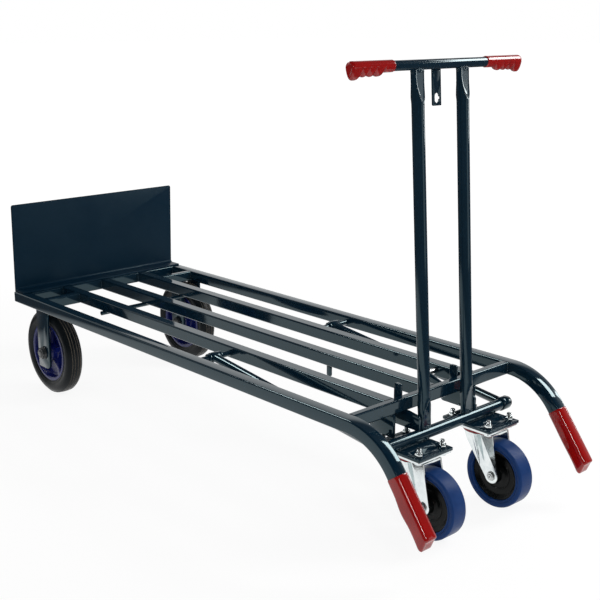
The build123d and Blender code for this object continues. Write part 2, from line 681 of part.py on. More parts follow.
def cradle(side: int) -> Part:
    """One hooked plate on the cross tube: a seat under the handle tube and a finger behind it."""
    seat_z = under_z - CRADLE_SEAT_GAP
    shoulder_z = seat_z - CRADLE_SLOPE
    low_z = under_z - CRADLE_DROP
    top_z = deck_z + CRADLE_RISE
    back_x = handle_back_x - CRADLE_BACK_GAP
    finger_x = back_x - CRADLE_FINGER
    heel_x = finger_x - CRADLE_HEEL
    front_x = cross_x + CRADLE_AHEAD
    y = side * (cradle_y + CRADLE_THICKNESS / 2)
    ends = (y - CRADLE_THICKNESS, y + CRADLE_THICKNESS)
    tube = rod_along_y(cross_x, cross_z, ends, CROSS_DIAMETER)
    with BuildPart() as plate:
        with BuildSketch(Plane.XZ.offset(-y)):
            with BuildLine():
                Polyline(
                    (finger_x, top_z),
                    (back_x, top_z),
                    (back_x, seat_z),
                    (handle_x + CRADLE_BACK_GAP, seat_z),
                    (front_x, shoulder_z),
                    (front_x, low_z),
                    (heel_x, low_z),
                    (finger_x, tube_z),
                    close=True,
                )
            make_face()
        extrude(amount=CRADLE_THICKNESS / 2, both=True)
        across = plate.edges().filter_by(Axis.Y)
        heels = across.filter_by_position(Axis.X, heel_x - 1, heel_x + 1)
        fronts = across.filter_by_position(Axis.X, front_x - 1, front_x + 1)
        shoulders = fronts.filter_by_position(Axis.Z, shoulder_z - 1, shoulder_z + 1)
        fillet(heels + shoulders, CRADLE_ROUND)
        tips = plate.edges().filter_by(Axis.Y).filter_by_position(Axis.Z, top_z - 1, top_z + 1)
        fillet(tips, CRADLE_TIP)
        add(tube, mode=Mode.SUBTRACT)
    return plate.part


def bolt_spots(side: int) -> list:
    """Centres of the four castor bolts on one side."""
    return [
        (swivel_x + i * BOLT_SPAN_X / 2, side * castor_y + j * BOLT_SPAN_Y / 2) for i in (-1, 1) for j in (-1, 1)
    ]


def drilled_plate(side: int, z: float, size: tuple, corner: float, bore: float) -> Part:
    """A flat plate over one castor with its four bolt holes and, if wanted, a middle bore."""
    with BuildPart() as plate:
        with BuildSketch(Plane.XY.offset(z)):
            with Locations((swivel_x, side * castor_y)):
                RectangleRounded(size[0], size[1], corner)
                if bore:
                    Circle(bore / 2, mode=Mode.SUBTRACT)
            with Locations(*bolt_spots(side)):
                Circle(BOLT_DIAMETER / 2, mode=Mode.SUBTRACT)
        extrude(amount=size[2])
    return plate.part


def castor_bolt(x: float, y: float) -> Part:
    """One castor bolt, head below and tail up through the nut."""
    with BuildPart() as bolt:
        with BuildSketch(Plane.XY.offset(castor_plate_z - BOLT_HEAD)):
            with Locations((x, y)):
                RegularPolygon(BOLT_HEAD_DIAMETER / 2, 6, major_radius=False)
        extrude(amount=BOLT_HEAD)
        add(rod_along_z(x, y, (castor_plate_z, mount_top_z + NUT + BOLT_TAIL), BOLT_DIAMETER))
    return bolt.part


def castor_nut(x: float, y: float) -> Part:
    """One castor nut on top of the mount plate."""
    with BuildPart() as nut:
        with BuildSketch(Plane.XY.offset(mount_top_z)):
            with Locations((x, y)):
                RegularPolygon(BOLT_HEAD_DIAMETER / 2, 6, major_radius=False)
                Circle(BOLT_DIAMETER / 2, mode=Mode.SUBTRACT)
        extrude(amount=NUT)
    return nut.part


def kingpin(side: int) -> Part:
    """The swivel pin riveted into one castor plate, with its head under the fork crown."""
    y = side * castor_y
    head_z = crown_z - SWIVEL_GAP
    with BuildPart() as pin:
        add(rod_along_z(swivel_x, y, (head_z, mount_plate_z), KINGPIN_DIAMETER))
        add(rod_along_z(swivel_x, y, (head_z - KINGPIN_HEAD, head_z), KINGPIN_HEAD_DIAMETER))
    return pin.part


def castor_fork(side: int) -> Part:
    """The pressed fork of one castor: a crown with two trailing legs."""
    y = side * castor_y
    inner = CASTOR_WIDTH / 2 + FORK_GAP
    outer = inner + FORK_WALL
    boss = FORK_BOSS / 2
    with BuildPart() as fork:
        with BuildSketch(Plane.XY.offset(crown_z)):
            with Locations((swivel_x, y)):
                Circle(SEAL_DIAMETER / 2)
            with Locations((swivel_x + (FORK_FRONT - FORK_REAR) / 2, y)):
                Rectangle(FORK_FRONT + FORK_REAR, 2 * outer)
        extrude(amount=CROWN)
        for face in (y + outer, y - inner):
            with BuildSketch(Plane.XZ.offset(-face)):
                with BuildLine():
                    Polyline(
                        (swivel_x - FORK_REAR, crown_z + CROWN),
                        (swivel_x - FORK_WAIST, crown_z - FORK_WAIST_DROP),
                        (castor_x - boss * cos(bend), castor_z - boss * sin(bend)),
                        (castor_x + boss, castor_z),
                        (swivel_x + FORK_FRONT, crown_z + CROWN),
                        close=True,
                    )
                make_face()
                with Locations((castor_x, castor_z)):
                    Circle(boss)
                    Circle(CASTOR_AXLE_DIAMETER / 2, mode=Mode.SUBTRACT)
            extrude(amount=FORK_WALL)
        with BuildSketch(Plane.XY.offset(crown_z)):
            with Locations((swivel_x, y)):
                Circle(KINGPIN_DIAMETER / 2 + RUNNING_FIT)
        extrude(amount=CROWN, mode=Mode.SUBTRACT)
    return fork.part


def castor_axle(side: int) -> Part:
    """The axle bolt of one castor with its head and nut outside the fork."""
    y = side * castor_y
    face = CASTOR_WIDTH / 2 + FORK_GAP + FORK_WALL
    with BuildPart() as axle:
        add(rod_along_y(castor_x, castor_z, (y - face, y + face), CASTOR_AXLE_DIAMETER))
        for start in (y + face + BOLT_HEAD, y - face):
            with BuildSketch(Plane.XZ.offset(-start)):
                with Locations((castor_x, castor_z)):
                    RegularPolygon(CASTOR_AXLE_DIAMETER * 0.75, 6, major_radius=False)
            extrude(amount=BOLT_HEAD)
    return axle.part


def castor_centre(side: int) -> Part:
    """The dished centre of one castor wheel, plain bored for its axle."""
    y = side * castor_y
    seat = CASTOR_DIAMETER - 2 * CASTOR_TYRE_DEPTH
    half = CASTOR_WIDTH / 2 + FORK_GAP - CASTOR_HUB_GAP
    edge = CASTOR_WIDTH / 2 - CASTOR_DISH / 2
    bore = CASTOR_AXLE_DIAMETER + 2 * RUNNING_FIT
    with BuildPart() as centre:
        add(rod_along_y(castor_x, castor_z, (y - edge, y + edge), seat, seat - CASTOR_DISH))
        add(rod_along_y(castor_x, castor_z, (y - CASTOR_WEB / 2, y + CASTOR_WEB / 2), seat - CASTOR_DISH))
        add(rod_along_y(castor_x, castor_z, (y - half, y + half), CASTOR_HUB_DIAMETER))
        with BuildSketch(Plane.XZ.offset(-(y + half))):
            with Locations((castor_x, castor_z)):
                Circle(bore / 2)
        extrude(amount=2 * half, mode=Mode.SUBTRACT)
    return centre.part


def cross_plug(side: int) -> Part:
    """The plug that closes one end of the castor cross tube."""
    end = side * cross_half
    bore = CROSS_DIAMETER - 2 * CROSS_WALL
    with BuildPart() as plug:
        add(rod_along_y(cross_x, cross_z, (end, end + side * PLUG_FLANGE), CROSS_DIAMETER))
        add(rod_along_y(cross_x, cross_z, (end - side * PLUG_DEPTH, end), bore))
    return plug.part


# Deck frame
for name, sign in SIDES:
    save(side_rail(sign), f"side_rail_{name}")
    save(rail_grip_sleeve(sign), f"rail_grip_{name}")
for name, place in (("left", -bar_pitch), ("middle", 0.0), ("right", bar_pitch)):
    save(tube_along_x((toe_tube_x + TUBE, handle_back_x), place), f"deck_bar_{name}")
save(tube_along_y(toe_tube_x, TUBE, (-rail_in_y, rail_in_y)), "toe_cross_tube")
save(tube_along_y(handle_back_x, HANDLE_TUBE_DEPTH, (-rail_in_y, rail_in_y)), "handle_cross_tube")
save(bent_toe_plate(), "toe_plate")
save(foot_stop(), "foot_bar")
save(catch(), "hook_catch")
save(Compound(children=[rail_plug(sign) for name, sign in SIDES]), "rail_end_plugs")
for name, sign in SIDES:
    wheel_tube = tube_along_y(wheel_tube_x, WHEEL_TUBE_DEPTH, (sign * bar_out_y, sign * rail_in_y))
    save(wheel_tube, f"wheel_cross_tube_{name}")
    save(gusset(sign), f"frame_gusset_{name}")

# Fixed wheels
for name, sign in SIDES:
    save(wheel_leg(min(sign * leg_out_y, sign * (leg_out_y + LEG_THICKNESS))), f"wheel_leg_outer_{name}")
    save(wheel_leg(min(sign * leg_in_y, sign * (leg_in_y - LEG_THICKNESS))), f"wheel_leg_inner_{name}")
    tyre_seat = WHEEL_DIAMETER - 2 * TYRE_DEPTH
    tyre = rounded_ring(
        wheel_x, sign * wheel_y, wheel_z, WHEEL_DIAMETER, tyre_seat, WHEEL_WIDTH, TYRE_SHOULDER
    )
    save(tyre, f"wheel_tyre_{name}")
    save(spoked_rim(sign), f"wheel_rim_{name}")
save(Compound(children=[wheel_bolt(sign) for name, sign in SIDES]), "wheel_axle_bolts")
save(Compound(children=[wheel_nut(sign) for name, sign in SIDES]), "wheel_axle_nuts")

# Stays
collars = []
axles = []
for name, sign in SIDES:
    axles.append(rod_along_y(stay_x, tube_z, (sign * bar_out_y, sign * rail_in_y), STAY_AXLE_DIAMETER))
    save(stay(sign), f"stay_{name}")
    for edge in (-1, 1):
        start = sign * stay_y + edge * (STAY_EYE_WIDTH / 2 + COLLAR_GAP)
        stop = start + edge * COLLAR_WIDTH
        collars.append(rod_along_y(stay_x, tube_z, (start, stop), COLLAR_DIAMETER, STAY_AXLE_DIAMETER))
save(Compound(children=axles), "stay_axles")
save(Compound(children=collars), "stay_collars")

# Latch
save(latch_pivot(), "latch_pin")
save(latch(), "latch_lever")

# Castor frame and T-handle
cross_ends = (-cross_half, cross_half)
with BuildPart() as cross_tube:
    add(rod_along_y(cross_x, cross_z, cross_ends, CROSS_DIAMETER, CROSS_DIAMETER - 2 * CROSS_WALL))
    for name, sign in SIDES:
        spot = (sign * castor_y - MOUNT_PLATE_WIDTH / 2, sign * castor_y + MOUNT_PLATE_WIDTH / 2)
        add(block((cross_x - TUBE, cross_x + TUBE), spot, (mount_plate_z, mount_top_z)), mode=Mode.SUBTRACT)
save(cross_tube.part, "castor_cross_tube")
bar_end = HANDLE_SPAN / 2 - HANDLE_GRIP_END
save(
    rod_along_y(
        bar_x, HANDLE_HEIGHT, (-bar_end, bar_end), HANDLE_BAR_DIAMETER, HANDLE_BAR_DIAMETER - 2 * HANDLE_BAR_WALL
    ),
    "handle_bar",
)
save(hook(), "hook_plate")
for name, sign in SIDES:
    save(upright(sign), f"upright_{name}")
    save(handle_grip(sign), f"handle_grip_{name}")
    save(cradle(sign), f"cradle_{name}")
    mount_size = (MOUNT_PLATE_LENGTH, MOUNT_PLATE_WIDTH, MOUNT_PLATE)
    save(drilled_plate(sign, mount_plate_z, mount_size, MOUNT_PLATE_CORNER, 0.0), f"castor_mount_plate_{name}")
save(Compound(children=[cross_plug(sign) for name, sign in SIDES]), "cross_tube_plugs")

# Castors
spots = [spot for name, sign in SIDES for spot in bolt_spots(sign)]
save(Compound(children=[castor_bolt(*spot) for spot in spots]), "castor_bolts")
save(Compound(children=[castor_nut(*spot) for spot in spots]), "castor_nuts")
save(Compound(children=[kingpin(sign) for name, sign in SIDES]), "castor_kingpins")
for name, sign in SIDES:
    plate_size = (CASTOR_PLATE_LENGTH, CASTOR_PLATE_WIDTH, CASTOR_PLATE)
    save(
        drilled_plate(sign, castor_plate_z, plate_size, CASTOR_PLATE_CORNER, KINGPIN_DIAMETER),
        f"castor_plate_{name}",
    )
    seal_bore = KINGPIN_HEAD_DIAMETER
    seal_top_z = seal_z + SEAL_HEIGHT
    save(
        rod_along_z(swivel_x, sign * castor_y, (seal_z, seal_top_z), SEAL_DIAMETER, seal_bore),
        f"castor_seal_{name}",
    )
    save(castor_fork(sign), f"castor_fork_{name}")
    save(castor_axle(sign), f"castor_axle_{name}")
    castor_seat = CASTOR_DIAMETER - 2 * CASTOR_TYRE_DEPTH
    castor_tyre = rounded_ring(
        castor_x, sign * castor_y, castor_z, CASTOR_DIAMETER, castor_seat, CASTOR_WIDTH, CASTOR_TYRE_ROUND
    )
    save(castor_tyre, f"castor_tyre_{name}")
    save(castor_centre(sign), f"castor_hub_{name}")
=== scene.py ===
"""Dresses the convertible platform truck: gloss paint, red grips, tyres, bright zinc and weld beads.

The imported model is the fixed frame. Lengths in the classes are millimetres and become metres in the meshes.
"""

import logging
import math
from dataclasses import dataclass
from enum import Enum
from typing import Mapping, Optional, Sequence, Union

import bmesh
import bpy
from bmesh.types import BMesh
from bpy.types import Material, Mesh, Node, NodeOutputs, NodeSocket, NodeTree, Object
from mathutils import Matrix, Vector


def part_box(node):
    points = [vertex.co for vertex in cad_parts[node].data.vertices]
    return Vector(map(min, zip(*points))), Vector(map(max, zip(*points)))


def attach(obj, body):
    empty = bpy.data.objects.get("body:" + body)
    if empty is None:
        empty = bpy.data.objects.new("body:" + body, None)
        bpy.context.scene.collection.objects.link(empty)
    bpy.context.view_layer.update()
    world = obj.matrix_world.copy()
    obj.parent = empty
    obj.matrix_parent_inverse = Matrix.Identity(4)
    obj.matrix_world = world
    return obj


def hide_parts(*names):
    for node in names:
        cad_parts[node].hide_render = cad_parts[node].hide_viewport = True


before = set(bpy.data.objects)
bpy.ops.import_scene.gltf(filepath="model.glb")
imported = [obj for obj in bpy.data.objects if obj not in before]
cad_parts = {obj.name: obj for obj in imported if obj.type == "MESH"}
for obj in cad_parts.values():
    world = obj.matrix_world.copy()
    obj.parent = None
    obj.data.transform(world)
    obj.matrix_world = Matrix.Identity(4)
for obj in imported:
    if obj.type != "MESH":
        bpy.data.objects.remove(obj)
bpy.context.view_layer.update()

LOG = logging.getLogger("platform_truck")
MM = 0.001
MERGE = 1e-6
NEARLY_STRAIGHT = math.radians(89)
WHITE = (1.0, 1.0, 1.0, 1.0)
SQUARE = ((-1, -1), (1, -1), (1, 1), (-1, 1))
Pair = tuple[float, float]
Triple = tuple[float, float, float]
Loop = list[Pair]
Ring = list[Vector]
Inputs = Mapping[Union[str, int], object]


class Side(Enum):
    """The two sides of the truck, by the sign of Y."""

    LEFT = -1
    RIGHT = 1

    @property
    def label(self) -> str:
        """The ending that the side's nodes carry."""
        return self.name.lower()


class Slot(Enum):
    """The record's material slots."""

    PAINT = "frame_paint"
    GRIP = "red_grip"
    ZINC = "bright_zinc"
    TYRE = "black_tyre"
    RIM = "blue_rim"
    CASTOR_TYRE = "blue_tyre"
    BLACK = "black_plastic"


# Mesh making


def clamp(value: float) -> float:
    """The value held between 0 and 1."""
    return max(0.0, min(1.0, value))


def fillet_loop(corners: Sequence[Triple], steps: int = 4) -> Loop:
    """Rounds the corners of a closed flat outline.

    Args:
        corners: Points of the outline, each with the radius of its rounding.
        steps: Chords per rounded corner.

    Returns:
        The outline's points with every rounded corner made an arc.
    """
    out: Loop = []
    count = len(corners)
    for index, (a, b, radius) in enumerate(corners):
        here = Vector((a, b))
        to_last = Vector(corners[index - 1][:2]) - here
        to_next = Vector(corners[(index + 1) % count][:2]) - here
        half = to_last.angle(to_next) / 2
        if radius <= 0 or half > NEARLY_STRAIGHT:
            out.append((a, b))
            continue
        reach = min(radius / math.tan(half), 0.499 * min(to_last.length, to_next.length))
        radius = reach * math.tan(half)
        inwards = (to_last.normalized() + to_next.normalized()).normalized()
        middle = here + inwards * (radius / math.sin(half))
        start = here + to_last.normalized() * reach - middle
        stop = here + to_next.normalized() * reach - middle
        turn = start.angle_signed(stop)
        for step in range(steps + 1):
            angle = -turn * step / steps
            x = start.x * math.cos(angle) - start.y * math.sin(angle)
            y = start.x * math.sin(angle) + start.y * math.cos(angle)
            out.append((middle.x + x, middle.y + y))
    return out


def square_loop(half: float, corner: float, steps: int = 4) -> Loop:
    """The outline of a square of twice the half width with rounded corners."""
    return fillet_loop([(a * half, b * half, corner) for a, b in SQUARE], steps)


def both_sides(right: Sequence[Triple], steps: int = 4) -> Loop:
    """The rounded outline of a section that is given by its right half."""
    return fillet_loop([*right, *((-a, r, f) for a, r, f in reversed(right))], steps)


@dataclass(frozen=True)
class Skin:
    """A skin over rings of equal length, closed at both ends or joined into a full turn.

    The bands are the material index of each face round a ring.
    """

    rings: Sequence[Ring]
    wrap: bool = False
    bands: Optional[Sequence[int]] = None

    def add_to(self, bm: BMesh) -> None:
        """Makes the skin's faces.

        Args:
            bm: The mesh that gets the faces.
        """
        made = [[bm.verts.new(point) for point in ring] for ring in self.rings]
        count = len(made[0])
        pairs = list(zip(made, made[1:]))
        if self.wrap:
            pairs.append((made[-1], made[0]))
        for first, second in pairs:
            for index in range(count):
                after = (index + 1) % count
                face = bm.faces.new((first[index], first[after], second[after], second[index]))
                face.material_index = self.bands[index] if self.bands else 0
        if not self.wrap:
            bm.faces.new(made[0])
            bm.faces.new(reversed(made[-1]))


def turned(
    centre: Vector, loop: Loop, steps: int, upright: bool = False, bands: Optional[Sequence[int]] = None
) -> Skin:
    """Turns a closed section round an axis through a point.

    Args:
        centre: A point on the axis, in metres.
        loop: Section points as (distance along the axis, radius), in millimetres.
        steps: Sections round the full turn.
        upright: Turns round Z instead of Y.
        bands: The material index of each side of the section.

    Returns:
        The turned skin.
    """
    rings = []
    for step in range(steps):
        angle = math.tau * step / steps
        c, s = math.cos(angle), math.sin(angle)
        section = [Vector((r * c, r * s, a) if upright else (r * c, a, r * s)) for a, r in loop]
        rings.append([centre + point * MM for point in section])
    return Skin(rings, True, bands)


def skinned(skins: Sequence[Skin]) -> BMesh:
    """Makes a mesh of skins.

    Args:
        skins: The skins in order.

    Returns:
        The new mesh.
    """
    bm = bmesh.new()
    for skin in skins:
        skin.add_to(bm)
    return bm


def bare_object(name: str, bm: BMesh) -> Object:
    """Turns a bmesh into an object of the scene.

    Args:
        name: The object's name.
        bm: The mesh, which is freed.

    Returns:
        The object.
    """
    mesh = bpy.data.meshes.new(name)
    bm.to_mesh(mesh)
    bm.free()
    obj = bpy.data.objects.new(name, mesh)
    bpy.context.scene.collection.objects.link(obj)
    return obj


def smooth(mesh: Mesh, angle: float) -> None:
    """Shades a mesh smooth, with edges past that many degrees left sharp."""
    mesh.polygons.foreach_set("use_smooth", [True] * len(mesh.polygons))
    mesh.set_sharp_from_angle(angle=math.radians(angle))


def finished(name: str, bm: BMesh, materials: Sequence[Material], angle: float) -> Object:
    """Turns a bmesh into an object with outward faces and smooth shading up to an angle.

    Args:
        name: The piece's name.
        bm: The mesh, which is freed.
        materials: The piece's materials in order.
        angle: Edges sharper than this many degrees stay sharp.

    Returns:
        The object, linked to the scene.
    """
    bmesh.ops.remove_doubles(bm, verts=bm.verts, dist=MERGE)
    bmesh.ops.recalc_face_normals(bm, faces=bm.faces)
    obj = bare_object(name, bm)
    for material in materials:
        obj.data.materials.append(material)
    smooth(obj.data, angle)
    return obj


def middle_of(node: str) -> Vector:
    """The middle of a node's box, in metres."""
    low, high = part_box(node)
    return (low + high) / 2


def applied(obj: Object) -> Object:
    """Bakes an object's modifiers into a plain mesh and removes them.

    Args:
        obj: The object with its modifiers.

    Returns:
        The same object with the finished mesh.
    """
    graph = bpy.context.evaluated_depsgraph_get()
    mesh = bpy.data.meshes.new_from_object(obj.evaluated_get(graph))
    old = obj.data
    obj.modifiers.clear()
    obj.data = mesh
    bpy.data.meshes.remove(old)
    return obj


def softened(node: str, width: float, material: Material) -> Object:
    """Copies a node's shape with its sharp edges rolled over.

    Args:
        node: The CAD node to copy.
        width: Width of the rolled edge in millimetres.
        material: The copy's finish.

    Returns:
        The new piece, which stands for the node.
    """
    bm = bmesh.new()
    bm.from_mesh(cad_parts[node].data)
    flat = math.radians(0.4)
    bmesh.ops.remove_doubles(bm, verts=bm.verts, dist=2 * MERGE)
    bmesh.ops.dissolve_limit(bm, angle_limit=flat, verts=bm.verts, edges=bm.edges)
    obj = finished(f"{node}_piece", bm, [material], 35)
    roll = obj.modifiers.new("rolled_edge", "BEVEL")
    roll.width = width * MM
    roll.segments = 2
    roll.limit_method = "ANGLE"
    roll.angle_limit = math.radians(40)
    applied(obj)
    smooth(obj.data, 50)
    return obj


def settle(obj: Object, body: str, slot: Slot, *nodes: str) -> None:
    """Puts a piece on its body, hides the nodes that it stands for and logs it.

    Args:
        obj: The piece.
        body: The body that it rides on.
        slot: Its material slot; not used.
        nodes: The CAD nodes that it stands for.
    """
    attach(obj, body)
    if nodes:
        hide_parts(*nodes)
    LOG.info("%s rides on %s for %s", obj.name, body, ", ".join(nodes) or "no node")


# Node trees


def fill(tree: NodeTree, node: Node, inputs: Inputs) -> NodeOutputs:
    """Links or sets the inputs of a node.

    Args:
        tree: The node tree.
        node: The node.
        inputs: By the input's name or number, a socket to link to it or a fixed value.

    Returns:
        The node's outputs.
    """
    for entry, value in inputs.items():
        if isinstance(value, NodeSocket):
            tree.links.new(value, node.inputs[entry])
        else:
            node.inputs[entry].default_value = value
    return node.outputs


def add_node(tree: NodeTree, kind: str, inputs: Optional[Inputs] = None, **settings: object) -> NodeOutputs:
    """Adds a node to a tree.

    Args:
        tree: The node tree.
        kind: The node's type.
        inputs: What its inputs are linked or set to.
        settings: The node's own properties, which are set first.

    Returns:
        The node's outputs.
    """
    node = tree.nodes.new(kind)
    for name, value in settings.items():
        setattr(node, name, value)
    return fill(tree, node, inputs or {})


def new_tree(name: str, **numbers: float) -> tuple[NodeTree, NodeOutputs]:
    """Starts a geometry tree with a geometry in and out, named numbers and a material.

    Args:
        name: The tree's name.
        numbers: Default values of the number inputs, where a whole number makes a whole-number input.

    Returns:
        The tree and the sockets of its inputs.
    """
    tree = bpy.data.node_groups.new(name, "GeometryNodeTree")
    tree.interface.new_socket("Geometry", in_out="INPUT", socket_type="NodeSocketGeometry")
    for label, default in numbers.items():
        kind = "NodeSocketInt" if isinstance(default, int) else "NodeSocketFloat"
        tree.interface.new_socket(label, in_out="INPUT", socket_type=kind).default_value = default
    tree.interface.new_socket("Material", in_out="INPUT", socket_type="NodeSocketMaterial")
    tree.interface.new_socket("Geometry", in_out="OUTPUT", socket_type="NodeSocketGeometry")
    return tree, add_node(tree, "NodeGroupInput")


def end_tree(tree: NodeTree, start: NodeOutputs, place: NodeOutputs) -> NodeTree:
    """Closes a tree with Realize Instances, smooth shading and Set Material.

    Args:
        tree: The geometry tree.
        start: The sockets of its inputs.
        place: The outputs of the node that places the instances.

    Returns:
        The same tree.
    """
    real = add_node(tree, "GeometryNodeRealizeInstances", {"Geometry": place["Instances"]})
    shade = add_node(tree, "GeometryNodeSetShadeSmooth", {"Geometry": real["Geometry"]})
    coated = {"Geometry": shade["Geometry"], "Material": start["Material"]}
    paint = add_node(tree, "GeometryNodeSetMaterial", coated)
    add_node(tree, "NodeGroupOutput", {"Geometry": paint["Geometry"]})
    return tree


def weld_tree() -> NodeTree:
    """A row of overlapping beads along every edge line of a mesh.

    Returns:
        The tree, with inputs Radius, Pitch, Seed and Material.
    """
    tree, start = new_tree("weld_bead", Radius=0.0016, Pitch=0.0014, Seed=4)
    curve = add_node(tree, "GeometryNodeMeshToCurve", {"Mesh": start["Geometry"]})
    along = {"Curve": curve["Curve"], "Length": start["Pitch"]}
    points = add_node(tree, "GeometryNodeCurveToPoints", along, mode="LENGTH")
    bead = add_node(tree, "GeometryNodeMeshUVSphere", {"Segments": 8, "Rings": 5, "Radius": start["Radius"]})
    vary = add_node(tree, "FunctionNodeRandomValue", {"Min": 0.86, "Max": 1.12, "Seed": start["Seed"]})
    beads = {"Points": points["Points"], "Instance": bead["Mesh"], "Rotation": points["Rotation"]}
    place = add_node(tree, "GeometryNodeInstanceOnPoints", {**beads, "Scale": vary["Value"]})
    return end_tree(tree, start, place)


def polar_tree() -> NodeTree:
    """Copies of a mesh turned evenly round its own Y axis.

    Returns:
        The tree, with inputs Count and Material.
    """
    tree, start = new_tree("polar_row", Count=5)
    line = add_node(tree, "GeometryNodeMeshLine", {"Offset": (0.0, 0.0, 0.0), "Count": start["Count"]})
    index = add_node(tree, "GeometryNodeInputIndex")
    share = add_node(tree, "ShaderNodeMath", {0: math.tau, 1: start["Count"]}, operation="DIVIDE")
    angle = add_node(tree, "ShaderNodeMath", {0: share[0], 1: index["Index"]}, operation="MULTIPLY")
    turn = add_node(tree, "FunctionNodeAxisAngleToRotation", {"Axis": (0.0, 1.0, 0.0), "Angle": angle[0]})
    copies = {"Points": line["Mesh"], "Instance": start["Geometry"], "Rotation": turn["Rotation"]}
    return end_tree(tree, start, add_node(tree, "GeometryNodeInstanceOnPoints", copies))


def thread_tree() -> NodeTree:
    """A stack of thread rings standing on every point of a mesh.

    Returns:
        The tree, with inputs Radius, Pitch, Turns and Material.
    """
    tree, start = new_tree("thread_rings", Radius=0.0038, Pitch=0.00125, Turns=3)
    circle = "GeometryNodeCurvePrimitiveCircle"
    ring = add_node(tree, circle, {"Resolution": 20, "Radius": start["Radius"]})
    thick = add_node(tree, "ShaderNodeMath", {0: start["Pitch"], 1: 0.42}, operation="MULTIPLY")
    crest = add_node(tree, circle, {"Resolution": 6, "Radius": thick[0]})
    sweep = {"Curve": ring["Curve"], "Profile Curve": crest["Curve"]}
    solid = add_node(tree, "GeometryNodeCurveToMesh", sweep)
    step = add_node(tree, "ShaderNodeCombineXYZ", {"Z": start["Pitch"]})
    line = add_node(tree, "GeometryNodeMeshLine", {"Offset": step["Vector"], "Count": start["Turns"]})
    place = "GeometryNodeInstanceOnPoints"
    stack = add_node(tree, place, {"Points": line["Mesh"], "Instance": solid["Mesh"]})
    stacks = {"Points": start["Geometry"], "Instance": stack["Instances"]}
    return end_tree(tree, start, add_node(tree, place, stacks))


def grown(obj: Object, tree: NodeTree, values: dict[str, object]) -> Object:
    """Runs a geometry tree on an object and keeps the result as a plain mesh.

    Args:
        obj: The object that carries the tree's input mesh.
        tree: The geometry tree.
        values: Input values by socket name.

    Returns:
        The same object with the finished mesh.
    """
    run = obj.modifiers.new(tree.name, "NODES")
    run.node_group = tree
    for item in tree.interface.items_tree:
        if item.in_out == "INPUT" and item.name in values:
            run[item.identifier] = values[item.name]
    return applied(obj)


def maths(tree: NodeTree, operation: str, first: NodeSocket, second: Union[NodeSocket, float]) -> NodeSocket:
    """A number worked out from a socket and a second socket or number."""
    return add_node(tree, "ShaderNodeMath", {0: first, 1: second}, operation=operation)[0]


def ramp(tree: NodeTree, value: NodeSocket, edges: Pair, levels: Pair) -> NodeSocket:
    """A soft step of a value.

    Args:
        tree: The node tree.
        value: The socket that is read.
        edges: Where the step starts and ends.
        levels: The results below and above the step.

    Returns:
        The socket with the result.
    """
    names = ("From Min", "From Max", "To Min", "To Max")
    inputs = {"Value": value, **dict(zip(names, (*edges, *levels)))}
    return add_node(tree, "ShaderNodeMapRange", inputs, interpolation_type="SMOOTHSTEP")["Result"]


# Finishes


def mask_group(name: str, stretch: Triple, detail: float, edges: Pair) -> NodeTree:
    """A shader group that puts out a soft-edged noise mask.

    Args:
        name: The group's name.
        stretch: Scale of the pattern along the three axes.
        detail: Octaves of the noise.
        edges: Noise levels where the mask starts and where it is full.

    Returns:
        The group, with inputs Coordinates and Scale and the output Mask.
    """
    group = bpy.data.node_groups.new(name, "ShaderNodeTree")
    group.interface.new_socket("Coordinates", in_out="INPUT", socket_type="NodeSocketVector")
    group.interface.new_socket("Scale", in_out="INPUT", socket_type="NodeSocketFloat")
    group.interface.new_socket("Mask", in_out="OUTPUT", socket_type="NodeSocketFloat")
    start = add_node(group, "NodeGroupInput")
    shape = add_node(group, "ShaderNodeMapping", {"Vector": start["Coordinates"], "Scale": stretch})
    grain = {"Vector": shape["Vector"], "Scale": start["Scale"], "Detail": detail, "Roughness": 0.6}
    noise = add_node(group, "ShaderNodeTexNoise", grain)
    add_node(group, "NodeGroupOutput", {"Mask": ramp(group, noise["Fac"], edges, (0.0, 1.0))})
    return group


@dataclass(frozen=True)
class SharedEffects:
    """The shader groups that the finishes share."""

    mottle: NodeTree
    scuffs: NodeTree
    relief: NodeTree

    @classmethod
    def make(cls) -> "SharedEffects":
        """Builds the three groups once."""
        return cls(
            mottle=mask_group("mottle", (1.0, 1.0, 1.0), 4.0, (0.3, 0.7)),
            scuffs=mask_group("scuffs", (1.0, 6.0, 1.0), 6.0, (0.62, 0.74)),
            relief=mask_group("relief", (1.0, 1.0, 1.0), 2.0, (0.2, 0.8)),
        )


